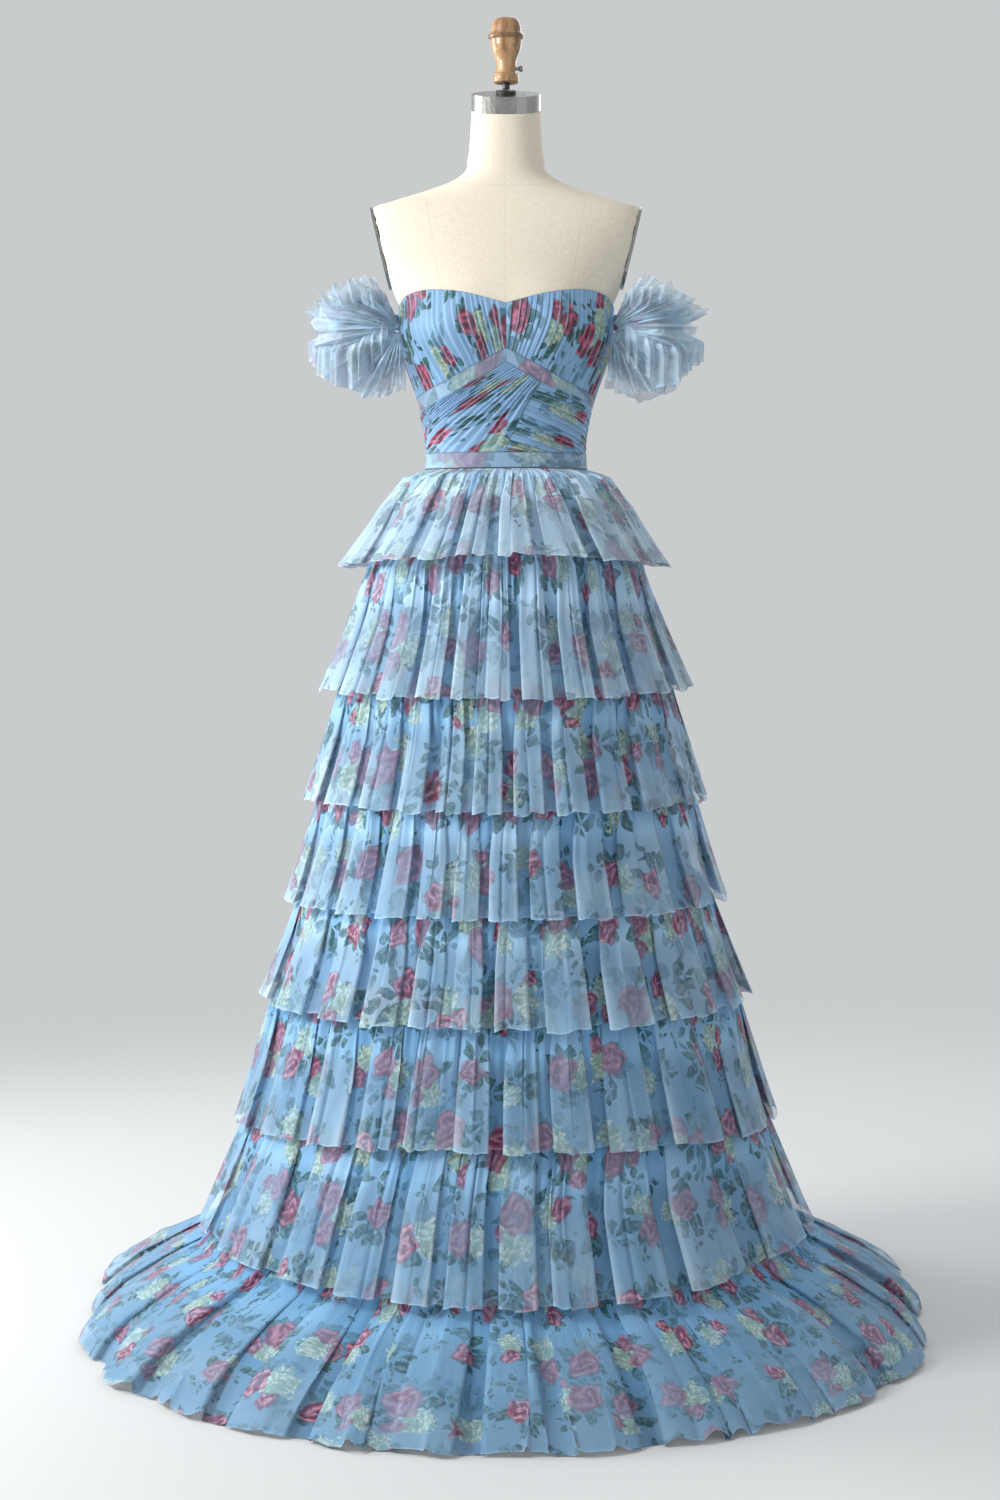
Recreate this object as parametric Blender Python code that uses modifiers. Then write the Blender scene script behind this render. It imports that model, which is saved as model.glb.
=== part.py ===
"""A-line prom dress with eight ruffled tiers, worn on a limbless dress form and its stand.

Metres, +Z up, the front faces -Y. The origin lies on the floor, under the stand's pole.
Azimuths are degrees round the pole: 0 is the front, 90 is +X, 180 is the back.
Each cloth piece is an open sheet with a Solidify wall. Its points come from the tables
below, which hold the real sizes.
"""

import math
from collections import namedtuple

import bmesh
import bpy
import numpy as np
from mathutils import Matrix, Vector

OBJECT_NAME = "prom_dress_on_form"

# Walls and gaps
CLOTH_WALL = 0.0020
SEAM_GAP = 0.0004
BODICE_EASE = 0.0014        # air between the form and the bodice's inner face
BODICE_SHEET = BODICE_EASE + CLOTH_WALL / 2
MERGE_DISTANCE = 0.00005

# Dress form and stand
FORM_BOTTOM = 0.800
WAIST_HEIGHT = 1.2205       # top edge of the waistband
WAISTBAND_WIDTH = 0.0205
BUST_HEIGHT = 1.385
BUST_AZIMUTH = 36.0
BUST_FULLNESS = 0.022
BUST_SPREAD_DEG = 20.0
BUST_SPREAD_UP = 0.036
FORM_SQUARENESS = 2.2       # exponent of the superellipse sections, 2 is an ellipse
PLATE_BASE_HEIGHT = 1.447   # armhole plates: a plane that leans out going up
PLATE_BASE_X = 0.1565
PLATE_LEAN = 0.236
FLAT_START_HEIGHT = 1.417    # the sides are cut flat by that plane from here up
PLATE_RISE = 0.056          # middle of a plate above the foot of its plane
PLATE_SET_BACK = 0.003
PLATE_HALF_DEPTH = 0.047
PLATE_HALF_LENGTH = 0.058
PLATE_THICKNESS = 0.004
NECK_FOOT = 1.604           # from here up the sections tilt forward, more and more
NECK_TOP = 1.6905
NECK_TILT = math.radians(15.0)
CAP_RADIUS = 0.0475
CAP_HEIGHT = 0.022
COLLAR_RADIUS = 0.014
COLLAR_HEIGHT = 0.004
ROD_RADIUS = 0.0052
ROD_TOP = 1.752
FINIAL_FOOT = 1.7264
FINIAL_BORE_RADIUS = 0.0058
FINIAL_BORE_TOP = 1.7525
SCREW_HEIGHT = 1.7460
SCREW_SHANK_RADIUS = 0.0020
SCREW_HOLE_RADIUS = 0.0024
SCREW_HOLE_START = 0.0050   # the hole's inner end lies inside the rod's bore
SCREW_HOLE_LENGTH = 0.016
SCREW_HEAD_RADIUS = 0.0042
SCREW_TIP = ROD_RADIUS + SEAM_GAP   # the screw's end stands just off the rod
POLE_RADIUS = 0.016
BASE_RADIUS = 0.200
BASE_RIM_HEIGHT = 0.010
BASE_HUB_HEIGHT = 0.026
BASE_HUB_RADIUS = 0.030

# Skirt: the train grows the rings backwards, most at the floor
TRAIN_LENGTH = 0.320
TRAIN_DECAY = 0.110
TRAIN_START_AZIMUTH = 85.0
OVAL_FADE_LOW = 1.10        # skirt sections turn from round to the form's oval between these
OVAL_FADE_HIGH = 1.19
PANEL_SHARE = 0.36          # half of a fold's flat panel, as a share of the way to the next
PANEL_SLANT = 0.16          # a panel's second edge lies this share of the depth further in
RECESS_RISE = 0.4           # the hem is higher at a recess, in shares of HEM_STEP
EMERGE_FOLD_SHARE = 0.35    # depth of a fold where it comes out from under the hem above
HIDDEN_FOLD_WANDER = 0.22   # how unevenly the folds behind are spaced
WAIST_GATHER_EASE = 0.0015  # more room at the oval waist, where the first tier begins
TRAIN_GATHER_EASE = 0.0009  # and where the train makes the rings oval
HEM_STEP = 0.005            # folds hang this much lower or higher than the hem's height
UNEVEN = (1.0, 0.72, 1.12, 0.85, 0.62)
UNEVEN_MEAN = sum(UNEVEN) / len(UNEVEN)

# Bodice
CENTRE_BACK = 180.0
SIDE_SEAM = 95.0
SEAM_TURN = 0.20            # degrees left open at each bodice seam
BAND_WIDTH = 0.018
BAND_CLEARANCE = 0.0016
WRAP_SEAM_RISE = 0.014      # length of each wrap's shortest pleat
WRAP_LIFT = 0.0014          # the wraps' pleats lie a little off the form
PLEAT_HEIGHT = 0.0024
PLEAT_END_SHARE = 0.35      # a pleat's height at its sewn ends, as a share of its full height
BAND_LIFT = 0.00028
WAISTBAND_OPENING = 0.6     # degrees from the centre back to the waistband's end
BACK_OPENING = 0.35         # and to a back panel's edge at the zip
WAISTBAND_LIFT = 0.0028

# Sleeves
LOOP_CENTRE_X = 0.1920
LOOP_HALF_WIDTH = 0.050
LOOP_HALF_DEPTH = 0.060
LOOP_HEIGHT = 1.398
LOOP_END_DEG = 151.0
LOOP_SAG = 0.010            # the loop's outer side hangs this much lower than its ends
LOOP_END_RISE = 0.006
RUFFLE_END_DEG = 128.0
LOOP_BAND_THICKNESS = 0.0045
LOOP_BAND_HALF_HEIGHT = 0.006
LOOP_BAND_FLAT_SHARE = 0.6

# Zip at the centre back
ZIP_TOP = 1.3850
SLIDER_LENGTH = 0.011
SLIDER_WIDTH = 0.0064
SLIDER_DEPTH = 0.0022
PULL_LENGTH = 0.022
PULL_THICKNESS = 0.0012
PULL_PIVOT_RISE = 0.0015
EAR_SIZE = (0.0008, 0.0030, 0.0026)
EAR_ASIDE = 0.0027
EAR_SINK = 0.0009           # an ear's inner end lies this deep in the slider

FormSection = namedtuple("FormSection", "height half_width front back")
FORM_SECTIONS = (
    FormSection(0.800, 0.1480, 0.104, 0.116),
    FormSection(0.900, 0.1560, 0.108, 0.124),
    FormSection(1.000, 0.1560, 0.106, 0.122),
    FormSection(1.080, 0.1440, 0.098, 0.110),
    FormSection(1.150, 0.1200, 0.086, 0.092),
    FormSection(1.205, 0.1065, 0.078, 0.080),
    FormSection(1.256, 0.1095, 0.082, 0.079),
    FormSection(1.305, 0.1225, 0.089, 0.081),
    FormSection(1.345, 0.1355, 0.095, 0.084),
    FormSection(1.385, 0.1435, 0.100, 0.087),
    FormSection(1.420, 0.1455, 0.098, 0.089),
    FormSection(1.447, 0.1575, 0.095, 0.091),
    FormSection(1.480, 0.1800, 0.090, 0.093),
    FormSection(1.515, 0.1980, 0.083, 0.091),
    FormSection(1.540, 0.2000, 0.073, 0.083),
    FormSection(1.556, 0.1900, 0.062, 0.074),
    FormSection(1.568, 0.1520, 0.054, 0.067),
    FormSection(1.580, 0.1120, 0.050, 0.061),
    FormSection(1.592, 0.0780, 0.048, 0.056),
    FormSection(1.604, 0.0590, 0.047, 0.052),
    FormSection(1.625, 0.0525, 0.0470, 0.0495),
    FormSection(1.660, 0.0490, 0.0465, 0.0480),
    FormSection(1.6905, 0.0472, 0.0468, 0.0468),
)
FORM_EXTRA_HEIGHTS = (1.178, 1.230, 1.280, 1.325, 1.365, 1.403, 1.433, 1.462)
FORM_SIDES = 36

SkirtRing = namedtuple("SkirtRing", "height half_width front back")
UNDERSKIRT_RINGS = (
    SkirtRing(1.1985, 0.1108, 0.0822, 0.0842),
    SkirtRing(1.150, 0.1310, 0.110, 0.115),
    SkirtRing(1.102, 0.160, 0.150, 0.155),
    SkirtRing(0.933, 0.203, 0.203, 0.203),
    SkirtRing(0.782, 0.233, 0.233, 0.233),
    SkirtRing(0.645, 0.259, 0.259, 0.259),
    SkirtRing(0.510, 0.295, 0.295, 0.295),
    SkirtRing(0.362, 0.331, 0.331, 0.331),
    SkirtRing(0.190, 0.378, 0.378, 0.378),
    SkirtRing(0.100, 0.400, 0.400, 0.400),
    SkirtRing(0.050, 0.412, 0.412, 0.412),
    SkirtRing(0.012, 0.425, 0.425, 0.425),
)
UNDERSKIRT_SIDES = 30

# One row for each tier: the seam on the underskirt, the ring where the tier comes out from
# under the hem above, and its own hem at the sides and at the centre front.
Tier = namedtuple("Tier", "name seam emerge emerge_r hem hem_r hem_front front_out depth")
TIERS = (
    Tier("tier_2", 1.102, 1.067, 0.186, 0.898, 0.260, 0.892, 0.000, 0.018),
    Tier("tier_3", 0.933, 0.898, 0.229, 0.748, 0.283, 0.745, 0.000, 0.014),
    Tier("tier_4", 0.782, 0.747, 0.259, 0.609, 0.309, 0.610, 0.000, 0.014),
    Tier("tier_5", 0.645, 0.610, 0.285, 0.475, 0.344, 0.472, 0.000, 0.014),
    Tier("tier_6", 0.510, 0.475, 0.321, 0.304, 0.378, 0.322, 0.000, 0.012),
    Tier("tier_7", 0.362, 0.310, 0.359, 0.160, 0.428, 0.138, 0.018, 0.012),
)

SurfaceRing = namedtuple("SurfaceRing", "height half_width front back fold")
TIER_1_SEAM = 1.1985
TIER_1_RINGS = (
    SurfaceRing(1.188, 0.1480, 0.1180, 0.1220, 0.0030),
    SurfaceRing(1.150, 0.1840, 0.1650, 0.1680, 0.0100),
    SurfaceRing(1.067, 0.2330, 0.2260, 0.2280, 0.0220),
)
TIER_1_FRONT_RISE = 0.020
TIER_8_SEAM = 0.190
TIER_8_RINGS = (
    SurfaceRing(0.155, 0.4060, 0.4060, 0.4060, 0.0040),
    SurfaceRing(0.128, 0.4250, 0.4250, 0.4250, 0.0080),
    SurfaceRing(0.096, 0.4800, 0.4780, 0.4800, 0.0140),
    SurfaceRing(0.057, 0.5450, 0.5450, 0.5450, 0.0220),
    SurfaceRing(0.026, 0.5760, 0.5780, 0.5780, 0.0260),
    SurfaceRing(0.003, 0.5900, 0.5960, 0.5900, 0.0260),
)

# Middles of the folds that face the front, and how many folds each tier has all round
FoldRow = namedtuple("FoldRow", "count front_azimuths")
FOLDS = {
    "tier_1": FoldRow(14, (-76, -44, -25, -13, 3, 21, 43, 71)),
    "tier_2": FoldRow(20, (-75, -53, -35, -24, -12, -3, 9, 23, 35, 50, 75)),
    "tier_3": FoldRow(20, (-74, -54, -38, -27, -16, -5, 6, 18, 32, 46, 70)),
    "tier_4": FoldRow(20, (-80, -57, -42, -30, -19, -10, -1, 10, 22, 37, 65)),
    "tier_5": FoldRow(20, (-86, -58, -42, -29, -18, -9, 1, 13, 29, 46, 72)),
    "tier_6": FoldRow(20, (-77, -54, -39, -27, -17, -7, 3, 13, 26, 41, 66)),
    "tier_7": FoldRow(20, (-84, -54, -37, -26, -16, -7, 2, 11, 23, 38, 64)),
    "tier_8": FoldRow(22, (-78, -60, -44, -31, -20, -10, 1, 12, 23, 35, 49, 66, 84)),
}

# Edges of the bodice as heights over azimuth, the same on both sides
NECKLINE = ((0, 1.4190), (13, 1.4255), (24, 1.4315), (40, 1.4372), (55, 1.4385),
            (68, 1.4330), (76, 1.4250), (86, 1.4190), (95, 1.4150), (125, 1.4050), (180, 1.4000))
BAND_TOP = ((0, 1.3590), (26, 1.3340), (48, 1.3150), (71, 1.3010), (95, 1.2950))
WRAP_EDGE_TOP_AZIMUTH = 27.0    # the over wrap's free edge, from the underbust band
WRAP_EDGE_FOOT_AZIMUTH = -2.0   # down to the waistband
WRAP_PEAK_SHARE = 0.70          # share of the over wrap's pleats that cross the centre
WRAP_SIDE_SHARE = 0.45          # share of them that starts at the waistband
WRAP_PLEATS = 8
UNDER_PLEATS = 4
CUP_PLEATS = 6

LatheRow = namedtuple("LatheRow", "radius height")
FINIAL_PROFILE = (
    LatheRow(0.0000, 1.8146), LatheRow(0.0090, 1.8136), LatheRow(0.0160, 1.8095),
    LatheRow(0.0200, 1.8015), LatheRow(0.0212, 1.7935), LatheRow(0.0245, 1.7905),
    LatheRow(0.0250, 1.7865), LatheRow(0.0222, 1.7825), LatheRow(0.0190, 1.7700),
    LatheRow(0.0148, 1.7590), LatheRow(0.0135, 1.7480), LatheRow(0.0138, 1.7385),
    LatheRow(0.0178, 1.7355), LatheRow(0.0182, 1.7300), LatheRow(0.0160, FINIAL_FOOT),
    LatheRow(FINIAL_BORE_RADIUS, FINIAL_FOOT), LatheRow(FINIAL_BORE_RADIUS, FINIAL_BORE_TOP),
    LatheRow(0.0000, FINIAL_BORE_TOP),
)
FINIAL_SIDES = 20

Finish = namedtuple("Finish", "name color roughness metallic")
BLUE_TULLE = Finish("printed_tulle", (0.42, 0.60, 0.78, 1.0), 0.75, 0.0)
BLUE_LINING = Finish("lining", (0.26, 0.45, 0.70, 1.0), 0.6, 0.0)
PLEATED_CHIFFON = Finish("pleated_chiffon", (0.33, 0.52, 0.72, 1.0), 0.7, 0.0)
IVORY_LINEN = Finish("ivory_linen", (0.82, 0.76, 0.66, 1.0), 0.85, 0.0)
BRUSHED_STEEL = Finish("brushed_steel", (0.55, 0.55, 0.54, 1.0), 0.35, 1.0)
BLACK_PAINT = Finish("black_paint", (0.02, 0.02, 0.02, 1.0), 0.4, 0.0)
TURNED_WOOD = Finish("turned_wood", (0.50, 0.33, 0.18, 1.0), 0.45, 0.0)
BLUE_ENAMEL = Finish("zip_enamel", (0.30, 0.48, 0.68, 1.0), 0.35, 0.0)


# ---------------------------------------------------------------- scene helpers

def clear_scene():
    """Removes what the scene holds and makes the two collections."""
    for thing in list(bpy.data.objects):
        bpy.data.objects.remove(thing, do_unlink=True)
    parts = bpy.data.collections.new(OBJECT_NAME)
    cutters = bpy.data.collections.new(OBJECT_NAME + "_cutters")
    bpy.context.scene.collection.children.link(parts)
    bpy.context.scene.collection.children.link(cutters)
    return parts, cutters


def material_for(finish):
    """A Principled material with the part's colour, roughness and metallic value."""
    material = bpy.data.materials.get(finish.name)
    if material is None:
        material = bpy.data.materials.new(finish.name)
        material.use_nodes = True
        shader = material.node_tree.nodes["Principled BSDF"]
        shader.inputs["Base Color"].default_value = finish.color
        shader.inputs["Roughness"].default_value = finish.roughness
        shader.inputs["Metallic"].default_value = finish.metallic
        material.diffuse_color = finish.color
    return material


def add_object(name, mesh, finish, collection):
    """Links a mesh as a named part with its finish."""
    part = bpy.data.objects.new(name, mesh)
    mesh.materials.clear()
    mesh.materials.append(material_for(finish))
    collection.objects.link(part)
    return part


def adopt_active(name, finish, collection):
    """Names the primitive that was just added and moves it into the collection."""
    part = bpy.context.active_object
    for home in list(part.users_collection):
        home.objects.unlink(part)
    part.name = name
    part.data.name = name
    part.data.materials.clear()
    part.data.materials.append(material_for(finish))
    collection.objects.link(part)
    return part


def grid_mesh(name, points, closed):
    """Quads over rows of points; closed joins each row's last point to its first."""
    rows, columns, _ = points.shape
    spans = columns if closed else columns - 1
    faces = []
    for row in range(rows - 1):
        for column in range(spans):
            following = (column + 1) % columns
            lower = row * columns
            upper = lower + columns
            faces.append((lower + column, lower + following, upper + following, upper + column))
    mesh = bpy.data.meshes.new(name)
    mesh.from_pydata([tuple(point) for point in points.reshape(-1, 3).tolist()], [], faces)
    mesh.update()
    return mesh


def add_cloth(name, points, closed, finish, collection):
    """A sheet through the grid's points with a cloth wall, half to each side."""
    part = add_object(name, grid_mesh(name, points, closed), finish, collection)
    wall = part.modifiers.new("wall", "SOLIDIFY")
    wall.thickness = CLOTH_WALL
    wall.offset = 0.0
    return part


def lathe(name, profile, sides, finish, collection, axis="Z"):
    """Turns a profile round its axis; the profile runs down the outer side."""
    mesh = bpy.data.meshes.new(name)
    if axis == "Z":
        vertices = [(row.radius, 0.0, row.height) for row in profile]
    else:
        vertices = [(row.height, 0.0, row.radius) for row in profile]
    edges = [(index, index + 1) for index in range(len(vertices) - 1)]
    mesh.from_pydata(vertices, edges, [])
    part = add_object(name, mesh, finish, collection)
    turn = part.modifiers.new("turn", "SCREW")
    turn.axis = axis
    turn.steps = sides
    turn.render_steps = sides
    turn.use_merge_vertices = True
    turn.merge_threshold = MERGE_DISTANCE
    return part


# ---------------------------------------------------------------- surfaces

def smooth_table(heights, values, height):
    """Cubic through a table's rows, with each slope taken from the row's neighbours."""
    heights = np.asarray(heights, float)
    values = np.asarray(values, float)
    slopes = np.gradient(values, heights)
    place = int(np.clip(np.searchsorted(heights, height) - 1, 0, len(heights) - 2))
    span = heights[place + 1] - heights[place]
    t = float(np.clip((height - heights[place]) / span, 0.0, 1.0))
    start, end = values[place], values[place + 1]
    leave, arrive = slopes[place] * span, slopes[place + 1] * span
    return ((2 * t**3 - 3 * t**2 + 1) * start + (t**3 - 2 * t**2 + t) * leave
            + (-2 * t**3 + 3 * t**2) * end + (t**3 - t**2) * arrive)


def section_radius(azimuth, half_width, front, back, power):
    """Distance from the pole to a superellipse with unlike front and back depths."""
    turn = math.radians(azimuth)
    depth = front if math.cos(turn) >= 0.0 else back
    across = (abs(math.sin(turn)) / half_width) ** power
    along = (abs(math.cos(turn)) / depth) ** power
    return (across + along) ** (-1.0 / power)


FORM_COLUMNS = {
    field: [getattr(row, field) for row in FORM_SECTIONS]
    for field in ("height", "half_width", "front", "back")
}


def form_radius(azimuth, height):
    """The dress form's surface: smooth sections, a soft bust, flats at the armholes."""
    half_width, front, back = (
        smooth_table(FORM_COLUMNS["height"], FORM_COLUMNS[field], height)
        for field in ("half_width", "front", "back"))
    radius = section_radius(azimuth, half_width, front, back, FORM_SQUARENESS)
    swell = 0.0
    for side in (-1.0, 1.0):
        aside = (azimuth - side * BUST_AZIMUTH) / BUST_SPREAD_DEG
        above = (height - BUST_HEIGHT) / BUST_SPREAD_UP
        swell += math.exp(-0.5 * (aside * aside + above * above))
    radius += BUST_FULLNESS * swell
    if height > FLAT_START_HEIGHT:
        limit = PLATE_BASE_X + PLATE_LEAN * (height - PLATE_BASE_HEIGHT)
        radius = min(radius, limit / max(abs(math.sin(math.radians(azimuth))), 0.01))
    return radius


def polar_point(azimuth, radius, height):
    """A point at an azimuth and a distance from the pole."""
    turn = math.radians(azimuth)
    return (radius * math.sin(turn), -radius * math.cos(turn), height)


def train_reach(azimuth, height):
    """How far the train carries a ring backwards at this azimuth and height."""
    share = (abs(azimuth) - TRAIN_START_AZIMUTH) / (180.0 - TRAIN_START_AZIMUTH)
    share = min(max(share, 0.0), 1.0)
    return TRAIN_LENGTH * math.exp(-height / TRAIN_DECAY) * share * share * (3.0 - 2.0 * share)


def skirt_power(height):
    """Sections match the form at the waist and are round from a hand below it."""
    share = (height - OVAL_FADE_LOW) / (OVAL_FADE_HIGH - OVAL_FADE_LOW)
    return 2.0 + (FORM_SQUARENESS - 2.0) * min(max(share, 0.0), 1.0)


def ring_radius(row, azimuth):
    """A skirt ring's distance from the pole, with the train."""
    radius = section_radius(azimuth, row.half_width, row.front, row.back, skirt_power(row.height))
    return radius + train_reach(azimuth, row.height)


def wrap_azimuth(azimuth):
    """The same azimuth between -180 and 180."""
    return (azimuth + 180.0) % 360.0 - 180.0


def fold_points(name):
    """Azimuth, depth share and drop share of each point: two panel edges, then the recess."""
    row = FOLDS[name]
    front = list(row.front_azimuths)
    behind = row.count - len(front)
    gap = (front[0] + 360.0 - front[-1]) / (behind + 1)
    wander = [HIDDEN_FOLD_WANDER * math.sin(2.4 * index + len(name) * front[1])
              for index in range(behind)]
    crests = front + [front[-1] + gap * (index + 1 + wander[index]) for index in range(behind)]
    points = []
    for index, crest in enumerate(crests):
        before = crests[index - 1] - (360.0 if index == 0 else 0.0)
        after = crests[(index + 1) % row.count] + (360.0 if index == row.count - 1 else 0.0)
        share = UNEVEN[index % len(UNEVEN)]
        low = UNEVEN[(2 * index + 1) % len(UNEVEN)] - UNEVEN_MEAN
        points.append((crest - PANEL_SHARE * (crest - before), 0.0, low))
        points.append((crest + PANEL_SHARE * (after - crest), PANEL_SLANT * share, low * 0.5))
        points.append(((crest + after) / 2.0, share, -RECESS_RISE))
    return points


def half_steps(points):
    """For each point, half the wider of the steps to its two neighbours, in radians."""
    azimuths = [point[0] for point in points]
    ahead = [(after - before) % 360.0
             for before, after in zip(azimuths, azimuths[1:] + azimuths[:1])]
    return [math.radians(max(ahead[index - 1], ahead[index])) / 2.0
            for index in range(len(points))]


# ---------------------------------------------------------------- dress form and stand

def build_form(collection):
    """Torso and neck as one loft of closed sections, capped at the hips and the neck."""
    heights = sorted({row.height for row in FORM_SECTIONS} | set(FORM_EXTRA_HEIGHTS))
    rings = []
    for height in heights:
        share = min(max((height - NECK_FOOT) / (NECK_TOP - NECK_FOOT), 0.0), 1.0)
        tilt = share * math.tan(NECK_TILT)
        ring = []
        for side in range(FORM_SIDES):
            azimuth = wrap_azimuth(360.0 * side / FORM_SIDES)
            x, y, z = polar_point(azimuth, form_radius(azimuth, height), height)
            ring.append((x, y, z + tilt * y))
        rings.append(ring)
    mesh = bpy.data.meshes.new("form_torso")
    shell = bmesh.new()
    loops = [[shell.verts.new(point) for point in ring] for ring in rings]
    for lower, upper in zip(loops, loops[1:]):
        for side in range(FORM_SIDES):
            following = (side + 1) % FORM_SIDES
            shell.faces.new((lower[side], lower[following], upper[following], upper[side]))
    shell.faces.new(list(reversed(loops[0])))
    shell.faces.new(loops[-1])
    bmesh.ops.recalc_face_normals(shell, faces=shell.faces)
    shell.to_mesh(mesh)
    shell.free()
    mesh.shade_smooth()
    return add_object("form_torso", mesh, IVORY_LINEN, collection)


def neck_place(along):
    """A place on the tilted neck axis, measured up from the middle of the neck's top."""
    return Vector((0.0, -along * math.sin(NECK_TILT), NECK_TOP + along * math.cos(NECK_TILT)))


def add_tilted_disc(name, radius, thickness, along, sides, finish, collection):
    """A disc square to the neck's axis, with its lower face at the given place."""
    bpy.ops.mesh.primitive_cylinder_add(
        vertices=sides, radius=radius, depth=thickness,
        location=neck_place(along + thickness / 2.0), rotation=(NECK_TILT, 0.0, 0.0))
    return adopt_active(name, finish, collection)


def build_neck_hardware(collection):
    """Steel neck cap and the black collar that carries the rod."""
    gap = SEAM_GAP
    add_tilted_disc("neck_cap", CAP_RADIUS, CAP_HEIGHT, gap, 40, BRUSHED_STEEL, collection)
    add_tilted_disc("neck_collar", COLLAR_RADIUS, COLLAR_HEIGHT,
                    CAP_HEIGHT + 2 * gap, 24, BLACK_PAINT, collection)


def rod_foot_place():
    """Centre of the rod's foot, just above the tilted collar."""
    top = neck_place(CAP_HEIGHT + COLLAR_HEIGHT + 3 * SEAM_GAP)
    clearance = ROD_RADIUS * math.sin(NECK_TILT) + SEAM_GAP
    return Vector((top.x, top.y, top.z + clearance))


def build_rod(collection):
    """The upright black rod; its foot is cut level just above the collar."""
    foot = rod_foot_place()
    length = ROD_TOP - foot.z
    bpy.ops.mesh.primitive_cylinder_add(
        vertices=16, radius=ROD_RADIUS, depth=length,
        location=(foot.x, foot.y, foot.z + length / 2.0))
    return adopt_active("neck_rod", BLACK_PAINT, collection)


def build_finial(parts, cutters):
    """Turned wooden finial with a bore for the rod and a hole for the thumb screw."""
    foot = rod_foot_place()
    finial = lathe("finial", FINIAL_PROFILE, FINIAL_SIDES, TURNED_WOOD, parts)
    finial.location = (foot.x, foot.y, 0.0)
    finial.data.shade_smooth()
    bpy.ops.mesh.primitive_cylinder_add(
        vertices=12, radius=SCREW_HOLE_RADIUS, depth=SCREW_HOLE_LENGTH,
        location=(foot.x + SCREW_HOLE_START + SCREW_HOLE_LENGTH / 2.0, foot.y, SCREW_HEIGHT),
        rotation=(0.0, math.pi / 2.0, 0.0))
    hole = adopt_active("screw_hole", TURNED_WOOD, cutters)
    hole.hide_render = True
    hole.display_type = "WIRE"
    cut = finial.modifiers.new("screw_hole", "BOOLEAN")
    cut.operation = "DIFFERENCE"
    cut.object = hole
    return finial


def build_thumb_screw(collection):
    """Steel thumb screw: a shank in the finial's hole and a domed, waisted head."""
    foot = rod_foot_place()
    profile = (
        LatheRow(0.0000, 0.0238), LatheRow(0.0026, 0.0234), LatheRow(SCREW_HEAD_RADIUS, 0.0218),
        LatheRow(SCREW_HEAD_RADIUS, 0.0188), LatheRow(0.0028, 0.0178), LatheRow(0.0028, 0.0156),
        LatheRow(SCREW_SHANK_RADIUS, 0.0152), LatheRow(SCREW_SHANK_RADIUS, SCREW_TIP),
        LatheRow(0.0000, SCREW_TIP),
    )
    screw = lathe("thumb_screw", profile, 16, BRUSHED_STEEL, collection, axis="X")
    screw.location = (foot.x, foot.y, SCREW_HEIGHT)
    return screw


def build_arm_plates(collection):
    """Flat oval plates that close the armholes, one for each side."""
    lean = math.atan(PLATE_LEAN)
    clearance = (SEAM_GAP + PLATE_THICKNESS / 2.0) / math.cos(lean)
    out = PLATE_BASE_X + PLATE_LEAN * PLATE_RISE + clearance
    for name, side in (("arm_plate_left", -1.0), ("arm_plate_right", 1.0)):
        bpy.ops.mesh.primitive_cylinder_add(vertices=28, radius=1.0, depth=PLATE_THICKNESS)
        plate = adopt_active(name, BRUSHED_STEEL, collection)
        size = Matrix.Diagonal((PLATE_HALF_LENGTH, PLATE_HALF_DEPTH, 1.0, 1.0))
        turn = Matrix.Rotation(side * (math.pi / 2.0 + lean), 4, "Y")
        plate.data.transform(turn @ size)
        plate.location = (side * out, PLATE_SET_BACK, PLATE_BASE_HEIGHT + PLATE_RISE)


def build_stand(collection):
    """Round floor base with a raised hub, and the pole up into the form's foot."""
    base = (
        LatheRow(0.0, BASE_HUB_HEIGHT), LatheRow(BASE_HUB_RADIUS - 0.004, BASE_HUB_HEIGHT),
        LatheRow(BASE_HUB_RADIUS, BASE_HUB_HEIGHT - 0.003), LatheRow(BASE_HUB_RADIUS + 0.008, 0.018),
        LatheRow(BASE_RADIUS - 0.012, BASE_RIM_HEIGHT + 0.002),
        LatheRow(BASE_RADIUS - 0.003, BASE_RIM_HEIGHT), LatheRow(BASE_RADIUS, BASE_RIM_HEIGHT - 0.004),
        LatheRow(BASE_RADIUS, 0.0), LatheRow(0.0, 0.0),
    )
    lathe("stand_base", base, 32, BLACK_PAINT, collection)
    foot = BASE_HUB_HEIGHT + SEAM_GAP
    length = FORM_BOTTOM - SEAM_GAP - foot
    bpy.ops.mesh.primitive_cylinder_add(
        vertices=20, radius=POLE_RADIUS, depth=length, location=(0.0, 0.0, foot + length / 2.0))
    adopt_active("stand_pole", BLACK_PAINT, collection)


# ---------------------------------------------------------------- skirt

def build_underskirt(collection):
    """The plain lining skirt that the tiers are sewn to."""
    azimuths = [wrap_azimuth(360.0 * side / UNDERSKIRT_SIDES) for side in range(UNDERSKIRT_SIDES)]
    points = np.array([
        [polar_point(azimuth, ring_radius(row, azimuth), row.height) for azimuth in azimuths]
        for row in UNDERSKIRT_RINGS])
    return add_cloth("underskirt", points[::-1], True, BLUE_LINING, collection)


def underskirt_radius(azimuth, height):
    """The underskirt's sheet between its rings, by straight lines."""
    for upper, lower in zip(UNDERSKIRT_RINGS, UNDERSKIRT_RINGS[1:]):
        if lower.height <= height <= upper.height:
            share = (upper.height - height) / (upper.height - lower.height)
            return (ring_radius(upper, azimuth) * (1.0 - share)
                    + ring_radius(lower, azimuth) * share)
    return ring_radius(UNDERSKIRT_RINGS[-1], azimuth)


def front_share(azimuth):
    """1 at the centre front, 0 from the sides backwards."""
    return max(math.cos(math.radians(azimuth)), 0.0) ** 2


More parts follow.
